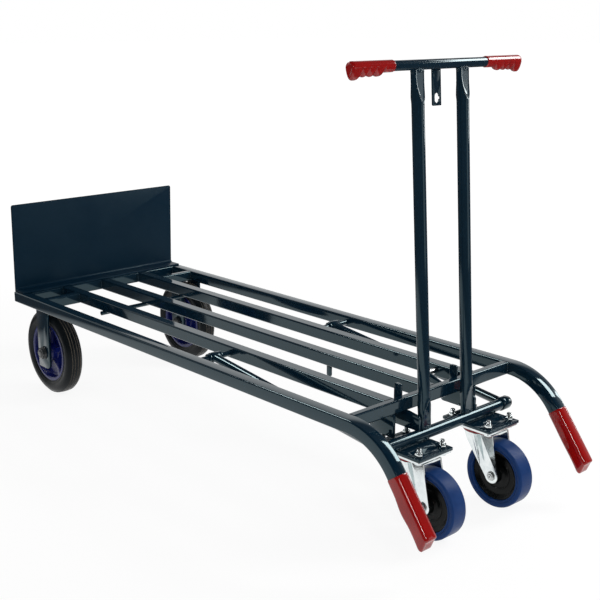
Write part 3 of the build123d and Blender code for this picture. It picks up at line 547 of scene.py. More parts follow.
@dataclass(frozen=True)
class Finish:
    """One surface finish: two tones of a colour, scuffs, gloss variation and relief.

    The scales of the patterns count repeats per metre, and the relief's depth is in metres.
    """

    name: str
    slot: Slot
    tone: Triple
    second_tone: Triple
    scuff_tone: Triple
    roughness: Pair
    mottle_scale: float = 18.0
    scuff_scale: float = 60.0
    scuff_share: float = 0.2
    relief_scale: float = 900.0
    relief_depth: float = 0.00002
    metallic: float = 0.0
    specular: float = 0.5
    tint: Triple = (1.0, 1.0, 1.0)

    def build(self, effects: SharedEffects) -> Material:
        """Builds the material.

        Args:
            effects: The shared shader groups.

        Returns:
            The material.
        """
        material = bpy.data.materials.new(self.name)
        material.use_nodes = True
        tree = material.node_tree
        place = add_node(tree, "ShaderNodeTexCoord")["Object"]
        groups = (effects.mottle, effects.scuffs, effects.relief)
        masks = []
        for group, scale in zip(groups, (self.mottle_scale, self.scuff_scale, self.relief_scale)):
            inputs = {"Coordinates": place, "Scale": scale}
            masks.append(add_node(tree, "ShaderNodeGroup", inputs, node_tree=group)["Mask"])
        mottle, scuffs, relief = masks
        tones = {"Factor": mottle, "A": (*self.tone, 1.0), "B": (*self.second_tone, 1.0)}
        base = add_node(tree, "ShaderNodeMix", tones, data_type="RGBA")["Result"]
        share = maths(tree, "MULTIPLY", scuffs, self.scuff_share)
        wear = {"Factor": share, "A": base, "B": (*self.scuff_tone, 1.0)}
        low, high = self.roughness
        gloss = add_node(tree, "ShaderNodeMapRange", {"Value": mottle, "To Min": low, "To Max": high})
        bump = add_node(tree, "ShaderNodeBump", {"Height": relief, "Distance": self.relief_depth})
        fill(tree, tree.nodes["Principled BSDF"], {
            "Base Color": add_node(tree, "ShaderNodeMix", wear, data_type="RGBA")["Result"],
            "Roughness": gloss["Result"],
            "Normal": bump["Normal"],
            "Metallic": self.metallic,
            "Specular IOR Level": self.specular,
            "Specular Tint": (*self.tint, 1.0),
        })
        return material


class Look(Enum):
    """The truck's finishes."""

    PAINT = Finish(
        "anthracite_paint", Slot.PAINT, (0.003, 0.0145, 0.0285), (0.004, 0.0172, 0.0325),
        (0.02, 0.032, 0.042), (0.05, 0.1), mottle_scale=9.0, relief_scale=160.0, relief_depth=0.000008,
        tint=(0.72, 1.0, 1.04),
    )
    PLATE_PAINT = Finish(
        "anthracite_plate_paint", Slot.PAINT, (0.0022, 0.0145, 0.031), (0.003, 0.0165, 0.034),
        (0.02, 0.032, 0.042), (0.3, 0.4), mottle_scale=9.0, relief_scale=220.0, specular=0.16,
        tint=(0.72, 1.0, 1.04),
    )
    GRIP = Finish(
        "red_soft_plastic", Slot.GRIP, (0.345, 0.0052, 0.0048), (0.3, 0.004, 0.004), (0.4, 0.03, 0.028),
        (0.06, 0.11), mottle_scale=30.0, relief_scale=120.0,
    )
    ZINC = Finish(
        "bright_zinc_plate", Slot.ZINC, (0.78, 0.82, 0.82), (0.68, 0.73, 0.74), (0.5, 0.53, 0.53),
        (0.07, 0.16), mottle_scale=60.0, relief_scale=400.0, metallic=1.0,
    )
    BOLT = Finish(
        "dull_zinc", Slot.ZINC, (0.6, 0.62, 0.62), (0.45, 0.47, 0.47), (0.25, 0.25, 0.25),
        (0.18, 0.3), mottle_scale=90.0, metallic=1.0,
    )
    DARK_BOLT = Finish(
        "blackened_steel", Slot.ZINC, (0.02, 0.024, 0.027), (0.03, 0.034, 0.037), (0.08, 0.08, 0.08),
        (0.16, 0.26), mottle_scale=90.0,
    )
    TYRE = Finish(
        "black_tyre_rubber", Slot.TYRE, (0.004, 0.0065, 0.0085), (0.006, 0.009, 0.011), (0.02, 0.021, 0.021),
        (0.26, 0.4), mottle_scale=40.0, relief_scale=1400.0, relief_depth=0.00003, specular=0.12,
    )
    TREAD_LINE = Finish(
        "tread_line_dust", Slot.TYRE, (0.19, 0.17, 0.14), (0.13, 0.115, 0.10), (0.08, 0.075, 0.07),
        (0.6, 0.8), mottle_scale=70.0, relief_scale=1400.0, relief_depth=0.00006, specular=0.2,
    )
    RIM = Finish(
        "blue_rim_plastic", Slot.RIM, (0.0035, 0.008, 0.105), (0.006, 0.013, 0.14), (0.03, 0.04, 0.2),
        (0.2, 0.32), relief_scale=500.0, relief_depth=0.00003, specular=0.35,
    )
    CASTOR_TYRE = Finish(
        "blue_castor_rubber", Slot.CASTOR_TYRE, (0.0065, 0.036, 0.145), (0.009, 0.044, 0.17),
        (0.03, 0.07, 0.2), (0.3, 0.42), mottle_scale=45.0, relief_depth=0.00004, specular=0.12,
    )
    BLACK = Finish(
        "black_hub_plastic", Slot.BLACK, (0.0015, 0.0022, 0.0022), (0.003, 0.004, 0.004),
        (0.012, 0.012, 0.012), (0.2, 0.3), relief_scale=700.0, relief_depth=0.00004, specular=0.12,
    )


class Finishes:
    """All materials of the truck, and the ways to put them on pieces."""

    def __init__(self) -> None:
        """Builds the shared groups, then every finish."""
        effects = SharedEffects.make()
        self.made = {look: look.value.build(effects) for look in Look}

    def __getitem__(self, look: Look) -> Material:
        """The material of that look."""
        return self.made[look]

    def dress(self, look: Look, *nodes: str) -> None:
        """Gives carried-over nodes a finish through their material slots.

        Args:
            look: The finish.
            nodes: The CAD nodes.
        """
        for node in nodes:
            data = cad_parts[node].data
            data.materials.clear()
            data.materials.append(self.made[look])

    def roll(self, body: str, look: Look, width: float, *nodes: str) -> None:
        """Replaces nodes of a body by copies with rolled edges of that many millimetres."""
        for node in nodes:
            settle(softened(node, width, self.made[look]), body, look.value.slot, node)

    def piece(
        self, name: str, angle: float, body: str, look: Look, skins: Sequence[Skin], *nodes: str,
        second: Optional[Look] = None,
    ) -> None:
        """Makes a piece of skins and settles it on its body.

        Args:
            name: The piece's name.
            angle: Edges sharper than this many degrees stay sharp.
            body: The body that it rides on.
            look: Its finish.
            skins: Its skins.
            nodes: The CAD nodes that it stands for.
            second: The finish of the faces with material index 1.
        """
        materials = [self.made[key] for key in (look, second) if key]
        settle(finished(name, skinned(skins), materials, angle), body, look.value.slot, *nodes)


# Sub-assemblies


@dataclass
class DeckFrame:
    """The welded deck: bent rails, bars, cross tubes, toe plate, wheel legs and gussets."""

    finishes: Finishes
    tube: float = 25.0
    corner: float = 3.0
    bend_radius: float = 131.0
    bend_angle: float = 53.4
    bend_steps: int = 24
    tail: float = 6.0
    grip_length: float = 117.0
    grip_end: float = 6.0
    grip_wall: float = 2.25
    grip_corner: float = 8.0
    least_corner: float = 2.0
    mouth: float = 1.6
    dome: float = 6.0
    dome_inset: float = 5.0
    swell: float = 2.6
    swell_start: float = 22.0
    swell_length: float = 66.0
    swell_under: float = 0.2
    lip: float = 6.0
    lip_length: float = 25.0
    lip_drop: float = 1.6
    set_back: float = 4.0

    def rail_path(self) -> list[tuple[Vector, Vector]]:
        """Stations of the rail's middle line.

        Returns:
            Points in the rail's own XZ plane with the direction square to the line.
        """
        low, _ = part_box("side_rail_left")
        bend_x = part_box("handle_cross_tube")[1].x / MM
        z = middle_of("deck_bar_middle").z / MM
        stations = [(Vector((low.x / MM, z)), 0.0), (Vector((bend_x, z)), 0.0)]
        for step in range(1, self.bend_steps + 1):
            angle = math.radians(self.bend_angle) * step / self.bend_steps
            x = bend_x + self.bend_radius * math.sin(angle)
            stations.append((Vector((x, z - self.bend_radius * (1 - math.cos(angle)))), angle))
        last, angle = stations[-1]
        run = self.tail + self.grip_length - self.grip_end
        stations.append((last + Vector((math.cos(angle), -math.sin(angle))) * run, angle))
        return [(point, Vector((math.sin(turn), math.cos(turn)))) for point, turn in stations]

    def rail(self, side: Side) -> None:
        """Builds one rail as a smooth bent tube with its soft grip.

        Args:
            side: The rail's side.
        """
        node = f"side_rail_{side.label}"
        y = middle_of(node).y / MM
        section = square_loop(self.tube / 2, self.corner)
        rings = []
        for point, out in self.rail_path():
            rings.append([Vector((point.x + out.x * b, y + a, point.y + out.y * b)) * MM for a, b in section])
        self.finishes.piece(f"{node}_tube", 30, "main_frame", Look.PAINT, [Skin(rings)], node)
        self.grip(side, y)

    def grip_profile(self, full: float) -> Loop:
        """The grip's rolled mouth, its plain run, its domed end and the flat of its tip.

        Args:
            full: Half the width of the plain run.

        Returns:
            Distances from the mouth, each with half the width there.
        """
        start = self.grip_length - self.dome
        profile = [(0.0, full - 1.2), (0.4, full - 0.3), (self.mouth, full)]
        profile += [(self.mouth + (start - self.mouth) * step / 30, full) for step in range(1, 31)]
        for step in range(1, 9):
            angle = math.pi / 2 * step / 8
            half = full - self.dome_inset * (1 - math.cos(angle))
            profile.append((start + self.dome * math.sin(angle), half))
        tip = full - self.dome_inset
        return profile + [(self.grip_length, tip * share) for share in (0.8, 0.6, 0.4, 0.2, 0.02)]

    def grip(self, side: Side, y: float) -> None:
        """Builds one soft grip with a palm swell on its outer side and a lip under its end.

        Args:
            side: The rail's side.
            y: The rail's place across in millimetres.
        """
        end, out = self.rail_path()[-1]
        along = Vector((out.y, -out.x))
        start = end - along * (self.grip_length - self.grip_end)
        full = self.tube / 2 + self.grip_wall
        rings = []
        for reach, half in self.grip_profile(full):
            corner = max(self.least_corner, self.grip_corner - (full - half))
            bulge = clamp((reach - self.swell_start) / self.swell_length)
            swell = self.swell * math.sin(math.pi * bulge) ** 2
            tip = clamp((reach - self.grip_length + self.lip_length) / self.lip_length) ** 2
            ring = []
            for a, b in square_loop(half, corner, 6):
                under = clamp(0.5 - b / full * 0.75)
                under = under * under * (3 - 2 * under)
                push = swell * under * max(0.0, a * side.value / full)
                at = start + along * (reach + tip * (self.lip * under - self.set_back * (1 - under)))
                low = b - (self.lip_drop * tip + self.swell_under * swell) * under
                ring.append(Vector((at.x + out.x * low, y + a + push * side.value, at.y + out.y * low)) * MM)
            rings.append(ring)
        node = f"rail_grip_{side.label}"
        self.finishes.piece(f"{node}_sleeve", 40, "main_frame", Look.GRIP, [Skin(rings)], node)

    def build(self) -> None:
        """Builds both rails, paints the straight tubes and rolls the edges of the plates."""
        for side in Side:
            self.rail(side)
        self.finishes.dress(
            Look.PAINT, "deck_bar_left", "deck_bar_middle", "deck_bar_right", "toe_cross_tube",
            "handle_cross_tube", "wheel_cross_tube_left", "wheel_cross_tube_right", "stay_axles",
        )
        for look, width, *nodes in (
            (Look.PLATE_PAINT, 0.9, "toe_plate"),
            (Look.PAINT, 0.6, "foot_bar"),
            (Look.PAINT, 0.5, "hook_catch"),
            (Look.PAINT, 0.9, "wheel_leg_outer_left", "wheel_leg_outer_right"),
            (Look.PAINT, 0.9, "wheel_leg_inner_left", "wheel_leg_inner_right"),
            (Look.PAINT, 0.8, "frame_gusset_left", "frame_gusset_right"),
            (Look.BLACK, 0.7, "rail_end_plugs"),
            (Look.PAINT, 0.6, "stay_collars"),
            (Look.BOLT, 0.5, "latch_pin"),
            (Look.DARK_BOLT, 0.6, "wheel_axle_bolts"),
            (Look.DARK_BOLT, 0.8, "wheel_axle_nuts"),
        ):
            self.finishes.roll("main_frame", look, width, *nodes)
        self.finishes.roll("latch", Look.PAINT, 0.8, "latch_lever")


@dataclass
class FixedWheel:
    """One fixed wheel: ribbed black tyre on a spoked blue rim."""

    finishes: Finishes
    side: Side
    radius: float = 101.5
    width: float = 42.0
    seat: float = 70.5
    band: float = 8.0
    rim_width: float = 36.0
    web: float = 6.0
    hub: float = 22.0
    hub_width: float = 46.0
    bore: float = 8.05
    spokes: int = 5
    spoke_width: float = 15.0
    spoke_depth: float = 24.0
    grooves: tuple[float, ...] = (10.4, 4.0, -4.0, -10.4)
    groove_depth: float = 1.3
    rib: float = 3.2
    crown_drop: float = 1.3
    shoulder: float = 13.6

    def crown(self, across: float) -> float:
        """The tread's radius at a distance from the wheel's middle plane."""
        return self.radius - self.crown_drop * (abs(across) / self.shoulder) ** 2

    def tyre_section(self) -> tuple[Loop, list[int]]:
        """The tyre's section with its tread grooves.

        Returns:
            The closed section and the material index of each of its sides.
        """
        wall = (
            (3.4, 0.0), (2.2, 1.6), (1.2, 4.6), (1.9, 6.0), (1.7, 7.2), (0.6, 9.5),
            (0.0, 14.0), (0.3, 18.5), (1.8, 23.0), (2.6, 24.0), (4.4, 26.6), (7.4, 29.0),
        )
        side_wall = [(self.width / 2 - inset, self.seat + rise) for inset, rise in wall]
        points = [(a, r, 0) for a, r in side_wall]
        for middle in self.grooves:
            top = self.crown(middle)
            low = top - self.groove_depth
            points += [(middle + 0.95, top, 0), (middle + 0.6, low, 1), (middle - 0.6, low, 1)]
            points += [(middle - 0.95, top, 1), (middle - self.rib, self.crown(middle - self.rib), 0)]
        points += [(-a, r, 0) for a, r in reversed(side_wall)]
        bands = [points[(index + 1) % len(points)][2] for index in range(len(points))]
        return [(a, r) for a, r, _ in points], bands

    def build(self) -> None:
        """Builds the tyre, the rim and the spokes on the wheel's body."""
        label = self.side.label
        body = f"wheel_{label}"
        centre = middle_of(f"wheel_tyre_{label}")
        loop, bands = self.tyre_section()
        tyre = turned(centre, loop, 96, bands=bands)
        node = f"wheel_tyre_{label}"
        self.finishes.piece(f"{body}_tyre", 32, body, Look.TYRE, [tyre], node, second=Look.TREAD_LINE)
        rim = turned(centre, self.rim_section(), 80)
        self.finishes.piece(f"{body}_rim", 40, body, Look.RIM, [rim], f"wheel_rim_{label}")
        self.arms(centre, body)

    def rim_section(self) -> Loop:
        """The section of the rim's band, web and hub.

        Returns:
            The closed section.
        """
        half, inner, web, hub = self.rim_width / 2, self.seat - self.band, self.web / 2, self.hub_width / 2
        return both_sides([
            (hub, self.bore, 0.8), (hub, self.hub - 4.0, 2.0), (hub - 7.0, self.hub, 2.0),
            (web, self.hub + 2.0, 4.0), (web, inner - 3.0, 4.0), (half - 2.0, inner, 1.2),
            (half, inner + 2.0, 1.4), (half, self.seat, 1.0),
        ])

    def arms(self, centre: Vector, body: str) -> None:
        """Builds the spokes on both faces of the web.

        Args:
            centre: The wheel's middle in metres.
            body: The wheel's body.
        """
        inner, low = self.seat - self.band, self.web / 2 - 1.0
        stations = (
            (self.hub - 3.0, 1.0, 1.15), (self.hub + 12.0, 0.82, 1.0),
            (inner - 14.0, 0.82, 1.0), (inner + 1.5, 1.05, 1.3),
        )
        skins = []
        for sign in (1.0, -1.0):
            rings = []
            for r, tall, wide in stations:
                w, top = self.spoke_width / 2 * wide, self.spoke_depth / 2 * tall
                corners = [(-w, low, 0.0), (-w + 1.6, top, 2.2), (w - 1.6, top, 2.2), (w, low, 0.0)]
                rings.append([Vector((r, sign * b, a)) * MM for a, b in fillet_loop(corners, 3)])
            skins.append(Skin(rings))
        blue = self.finishes[Look.RIM]
        spokes = finished(f"{body}_spokes", skinned(skins), [blue], 40)
        grown(spokes, POLAR, {"Count": self.spokes, "Material": blue})
        for vertex in spokes.data.vertices:
            vertex.co = Vector((vertex.co.z, vertex.co.y, vertex.co.x)) + centre
        spokes.data.flip_normals()
        spokes.data.set_sharp_from_angle(angle=math.radians(40))
        settle(spokes, body, Slot.RIM)


@dataclass
class Castor:
    """One swivel castor: blue tyre on a dished black centre, pressed zinc fork, red race seal."""

    finishes: Finishes
    side: Side
    radius: float = 62.5
    width: float = 36.0
    seat: float = 48.5
    hub: float = 15.0
    hub_half: float = 20.0
    bore: float = 6.05
    web: float = 16.0
    axle: float = 5.9
    washer: float = 9.0
    nut: float = 7.4
    nut_flat: float = 7.0
    nut_corner: float = 1.09
    nut_chamfer: float = 6.5
    fork_half: float = 24.0
    crease: Pair = (36.0, 30.0)
    seal_bore: float = 11.0
    seal_wall: float = 2.2
    skirt: float = 2.0
    hang: float = 4.5

    def build(self) -> None:
        """Builds the wheel, the fork parts, the plates above it and the axle's nuts."""
        label = self.side.label
        swivel, wheel = f"castor_swivel_{label}", f"castor_wheel_{label}"
        centre = middle_of(f"castor_tyre_{label}")
        for part, angle, look, skin in (
            ("tyre", 32, Look.CASTOR_TYRE, turned(centre, self.tyre_section(), 96)),
            ("hub", 40, Look.BLACK, turned(centre, self.hub_section(), 72)),
        ):
            node = f"castor_{part}_{label}"
            self.finishes.piece(f"castor_{label}_{part}", angle, wheel, look, [skin], node)
        self.finishes.roll(swivel, Look.ZINC, 1.2, f"castor_fork_{label}")
        self.finishes.piece(f"castor_{label}_fork_crease", 25, swivel, Look.ZINC, self.fork_creases())
        seal = [self.seal()]
        self.finishes.piece(f"castor_{label}_seal", 40, swivel, Look.GRIP, seal, f"castor_seal_{label}")
        self.finishes.roll("castor_frame", Look.ZINC, 0.6, f"castor_plate_{label}")
        self.finishes.roll("castor_frame", Look.PAINT, 0.7, f"castor_mount_plate_{label}")
        axle = self.axle_nuts(centre)
        self.finishes.piece(f"castor_{label}_axle", 30, swivel, Look.BOLT, axle, f"castor_axle_{label}")

    def tyre_section(self) -> Loop:
        """The tyre's section with its stepped side walls.

        Returns:
            The closed section.
        """
        half, seat = self.width / 2, self.seat
        return both_sides([
            (half - 5.0, seat, 0.5), (half - 1.6, seat + 0.3, 1.0), (half - 0.6, seat + 1.4, 0.8),
            (half - 0.6, seat + 2.6, 0.8), (half - 2.0, seat + 3.6, 0.8), (half - 1.6, seat + 5.0, 1.0),
            (half, seat + 6.6, 1.2), (half, self.radius - 2.2, 1.8), (half - 2.6, self.radius, 2.0),
        ])

    def hub_section(self) -> Loop:
        """The section of the dished centre with its ring steps.

        Returns:
            The closed section.
        """
        edge, web, hub, seat = self.width / 2 - 5.0, self.web / 2, self.hub, self.seat
        return both_sides([
            (self.hub_half, self.bore, 0.6), (self.hub_half, hub - 3.0, 1.0), (web + 3.0, hub, 2.0),
            (web, hub + 5.0, 2.0), (web, hub + 12.0, 0.6), (web + 1.2, hub + 12.8, 0.6),
            (web + 1.2, hub + 14.6, 0.6), (web, hub + 15.4, 0.6), (web, seat - 9.0, 2.0),
            (edge - 0.8, seat - 3.6, 1.2), (edge, seat - 2.4, 0.6), (edge, seat, 0.5),
        ], 3)

    def fork_creases(self) -> list[Skin]:
        """The tapered crease pressed into the outer face of each fork leg.

        Returns:
            One skin for each leg.
        """
        low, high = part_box(f"castor_fork_{self.side.label}")
        rise = (high.z - low.z) / MM
        offset, slope = self.crease
        stations = ((0.04, 9.0, 2.4), (0.2, 7.6, 2.2), (0.36, 5.4, 1.6), (0.52, 2.8, 0.8), (0.66, 0.4, 0.1))
        skins = []
        for face, way in ((low.y, -1.0), (high.y, 1.0)):
            rings = []
            for share, wide, tall in stations:
                x, z = low.x / MM + offset + slope * share, high.z / MM - rise * share
                points = [
                    (-wide, -0.4), (-wide, 0.0), (-wide * 0.35, tall), (0.0, tall * 0.72),
                    (wide * 0.35, tall), (wide, 0.0), (wide, -0.4),
                ]
                rings.append([Vector(((x + a) * MM, face + way * b * MM, z * MM)) for a, b in points])
            skins.append(Skin(rings))
        return skins

    def seal(self) -> Skin:
        """The red race seal with its hanging skirt.

        Returns:
            The seal's skin.
        """
        low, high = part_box(f"castor_seal_{self.side.label}")
        centre = Vector(((low.x + high.x) / 2, (low.y + high.y) / 2, low.z))
        tall, outer = (high.z - low.z) / MM, (high.x - low.x) / MM / 2 + self.skirt
        bore, inside, foot = self.seal_bore, outer - self.seal_wall, -self.hang
        corners = [
            (0.0, bore, 0.0), (0.0, inside, 0.0), (foot, inside, 0.0), (foot, outer, 1.2),
            (tall * 0.45, outer, 1.6), (tall * 0.7, outer - 2.4, 0.6), (tall, outer - 3.4, 0.6),
            (tall, bore, 0.0),
        ]
        return turned(centre, fillet_loop(corners, 3), 64, upright=True)

    def nut_ring(self, centre: Vector, face: float, flat: float) -> Ring:
        """One ring of the nut: six-sided where it is wide, and round inside its chamfer.

        Args:
            centre: The wheel's middle in metres.
            face: The ring's place along the axle in millimetres.
            flat: The ring's half width in millimetres.

        Returns:
            The ring's points.
        """
        ring = []
        for step in range(48):
            angle = math.tau * step / 48
            side = (angle % (math.pi / 3)) - math.pi / 6
            sided = min(flat * self.nut_corner, self.nut_flat * flat / self.nut / math.cos(side))
            r = flat if flat < self.nut_chamfer else sided
            ring.append(centre + Vector((r * math.cos(angle), face, r * math.sin(angle))) * MM)
        return ring

    def axle_nuts(self, centre: Vector) -> list[Skin]:
        """The axle with a washer, a chamfered nut and a threaded tail outside each leg.

        Args:
            centre: The wheel's middle in metres.

        Returns:
            The skins.
        """
        face, wide = self.fork_half, self.washer
        washer = [(0.0, 3.0), (0.0, wide), (0.9, wide), (1.2, wide - 0.4), (1.2, 3.0)]
        tail = [(1.0, 1.2), (1.0, 4.4), (4.4, 4.4), (4.9, 3.8), (4.9, 2.2), (4.5, 1.2)]
        nut = ((1.2, 7.0), (1.5, self.nut), (3.4, self.nut), (4.1, 6.4), (4.1, 4.9), (3.3, 4.5))
        skins = [turned(centre, [(-face, 1.0), (-face, self.axle), (face, self.axle), (face, 1.0)], 32)]
        for way in (-1.0, 1.0):
            for loop, steps in ((washer, 40), (tail, 32)):
                skins.append(turned(centre, [((face + a) * way, r) for a, r in loop], steps))
            skins.append(Skin([self.nut_ring(centre, (face + reach) * way, flat) for reach, flat in nut]))
        return skins


@dataclass
class HandleFrame:
    """The castor frame's tubes and the T-handle with its finger grips."""

    finishes: Finishes
    span: float = 430.0
    grip_length: float = 97.0
    sleeve: float = 10.0
    crest: float = 15.8
    valley: float = 11.6
    flare: float = 19.8
    heel: float = 21.0
    heel_flat: float = 9.5
    pitch: float = 15.6
    bumps: int = 3
    plain: float = 24.0
    pinch: float = 0.34
    grip_round: float = 5.0
    bolt_reach: float = 9.5
    thread: float = 3.9
    thread_pitch: float = 1.25
    thread_turns: int = 6
    thread_lift: float = 0.8
    post: float = 11.0
    post_foot: float = 10.2
    post_head: float = 8.2
    crimp: Pair = (13.25, 4.75)
    crimp_start: float = 22.0
    crimp_length: float = 46.0
    crimp_turn: float = 8.0
    crimp_ease: float = 1.6
    crimp_ridge: float = 0.9
    ridge_width: float = 1.3
    round_run: float = 40.0

    def depth(self, left: float) -> float:
        """How far the grip reaches below the bar's axis at a distance from its outer end.

        Args:
            left: Distance from the grip's outer end in millimetres.

        Returns:
            The depth in millimetres.
        """
        last = self.heel + self.pitch * (self.bumps - 0.5)
        if left < self.heel:
            bulge = max(0.0, left - self.heel_flat) / (self.heel - self.heel_flat)
            return self.valley + (self.flare - self.valley) * math.sqrt(1 - bulge ** 2)
        if left < last:
            along = 2 * (((left - self.heel) / self.pitch) % 1.0) - 1
            return self.valley + (self.crest - self.valley) * (1 - along ** 2) ** 0.6
        tail = min(1.0, (left - last) / (self.grip_length - self.plain - last))
        return self.sleeve + (self.crest - self.sleeve) * math.sqrt(1 - tail ** 2)

    def grip_stations(self) -> Loop:
        """The finger grip's sections along its length.

        Returns:
            Distances from its inner end, each with the section's share of its full size.
        """
        length, end = self.grip_length, self.grip_round
        stations = [(0.0, 0.9), (0.5, 0.96), (1.4, 1.0)]
        stations += [(1.4 + (length - 1.4 - end) * step / 84, 1.0) for step in range(1, 85)]
        for step in range(1, 9):
            angle = math.pi / 2 * step / 8
            stations.append((length - end + end * math.sin(angle), 0.72 + 0.28 * math.cos(angle)))
        return stations + [(length - 0.1, 0.64), (length - 0.9, 0.58), (length - 1.1, 0.4)]

    def finger_grip(self, side: Side) -> None:
        """Builds one finger grip as a loft of egg-shaped sections with pinched valleys.

        Args:
            side: The grip's side.
        """
        bar = middle_of("handle_bar")
        rings = []
        for reach, tuck in self.grip_stations():
            left = self.grip_length - reach
            drop = self.depth(left)
            crown = clamp((drop - self.valley) / (self.crest - self.valley))
            lobes = self.heel - 6.0 < left < self.grip_length - self.plain
            pinch = self.pinch * (1 - crown) if lobes else 0.0
            y = side.value * (self.span / 2 - self.grip_length + reach)
            ring = []
            for step in range(40):
                angle = math.tau * step / 40
                x, z = self.sleeve * math.sin(angle), self.sleeve * math.cos(angle)
                if z < 0:
                    low = -math.cos(angle)
                    z *= 1 + (drop / self.sleeve - 1) * low ** 0.6
                    x *= (1 - 0.1 * low) * (1 - pinch * low ** 0.7)
                across = Vector((0.0, y * MM - bar.y, 0.0))
                ring.append(bar + Vector((x * tuck, 0.0, z * tuck)) * MM + across)
            rings.append(ring)
        node = f"handle_grip_{side.label}"
        self.finishes.piece(f"{node}_sleeve", 60, "castor_frame", Look.GRIP, [Skin(rings)], node)

    def post_stations(self, run: float) -> list[float]:
        """Places of an upright's sections, close together where it is pressed.

        Args:
            run: Distance between the axes of the tubes at its ends, in millimetres.

        Returns:
            Distances from the lower axis in millimetres.
        """
        start, length, foot, head = self.crimp_start, self.crimp_length, self.post_foot, run - self.post_head
        press = start + length
        reaches = [foot + (start - foot) * step / 3 for step in range(4)]
        reaches += [start + length * step / 30 for step in range(1, 31)]
        reaches += [press + self.round_run, run / 2, run - press - self.round_run]
        reaches += [run - press + length * step / 30 for step in range(31)]
        return reaches + [run - start + (head - run + start) * step / 3 for step in range(1, 4)]

    def upright(self, side: Side) -> None:
        """Builds one upright: a round tube pressed flat at both ends, with the crease of the press.

        Args:
            side: The upright's side.
        """
        node = f"upright_{side.label}"
        foot, head = middle_of("castor_cross_tube"), middle_of("handle_bar")
        base = Vector((foot.x, middle_of(node).y, foot.z))
        run = (head - foot).length / MM
        along = (head - foot).normalized()
        turn = math.radians(self.crimp_turn)
        across = Vector((along.z * math.cos(turn), math.sin(turn), -along.x * math.cos(turn)))
        aside = along.cross(across)
        wide, deep = self.crimp
        rings = []
        for reach in self.post_stations(run):
            open_up = clamp((min(reach, run - reach) - self.crimp_start) / self.crimp_length)
            limit = deep + (self.post + 1.5 - deep) * open_up ** self.crimp_ease
            stretch = wide + (self.post - wide) * open_up
            ring = []
            for step in range(96):
                angle = math.tau * step / 96
                a, b = stretch * math.cos(angle), self.post * math.sin(angle)
                over = (abs(b) - limit) / self.ridge_width
                fold = self.crimp_ridge * math.exp(-over ** 2) * min(1.0, 3.0 * (1 - open_up))
                b = math.copysign(min(abs(b), limit) + fold, b)
                ring.append(base + aside * (a * MM) + across * (b * MM) + along * (reach * MM))
            rings.append(ring)
        self.finishes.piece(f"{node}_tube", 28, "castor_frame", Look.PAINT, [Skin(rings)], node)

    def threads(self) -> None:
        """Stands thread rings on the tails of the castor bolts."""
        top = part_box("castor_bolts")[1].z
        tails: list[Ring] = []
        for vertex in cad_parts["castor_bolts"].data.vertices:
            if abs(vertex.co.z - top) < MERGE:
                near = [tail for tail in tails if (tail[0] - vertex.co).length < self.bolt_reach * MM]
                if near:
                    near[0].append(vertex.co)
                else:
                    tails.append([vertex.co])
        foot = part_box("castor_nuts")[1].z + self.thread_lift * MM
        bm = bmesh.new()
        for tail in tails:
            xs, ys = [point.x for point in tail], [point.y for point in tail]
            bm.verts.new(((min(xs) + max(xs)) / 2, (min(ys) + max(ys)) / 2, foot))
        rings = bare_object("castor_bolt_threads", bm)
        sizes = {"Radius": self.thread * MM, "Pitch": self.thread_pitch * MM, "Turns": self.thread_turns}
        grown(rings, THREAD, {**sizes, "Material": self.finishes[Look.ZINC]})
        settle(rings, "castor_frame", Slot.ZINC)

    def build(self) -> None:
        """Builds the grips and uprights and dresses the tubes, plates and fasteners."""
        for side in Side:
            self.finger_grip(side)
            self.upright(side)
        self.finishes.dress(Look.PAINT, "handle_bar", "castor_cross_tube")
        self.finishes.dress(Look.ZINC, "castor_kingpins")
        for look, width, *nodes in (
            (Look.PAINT, 0.5, "hook_plate"),
            (Look.PAINT, 0.8, "cradle_left", "cradle_right"),
            (Look.BLACK, 0.7, "cross_tube_plugs"),
            (Look.ZINC, 0.5, "castor_bolts"),
            (Look.ZINC, 0.6, "castor_nuts"),
        ):
            self.finishes.roll("castor_frame", look, width, *nodes)
        self.threads()


@dataclass
class Stays:
    """The two stays that tie the castor frame to the deck."""

    finishes: Finishes
    edge: float = 0.5

    def build(self) -> None:
        """Rolls the edges of both stays."""
        self.finishes.roll("stays", Look.PAINT, self.edge, "stay_left", "stay_right")


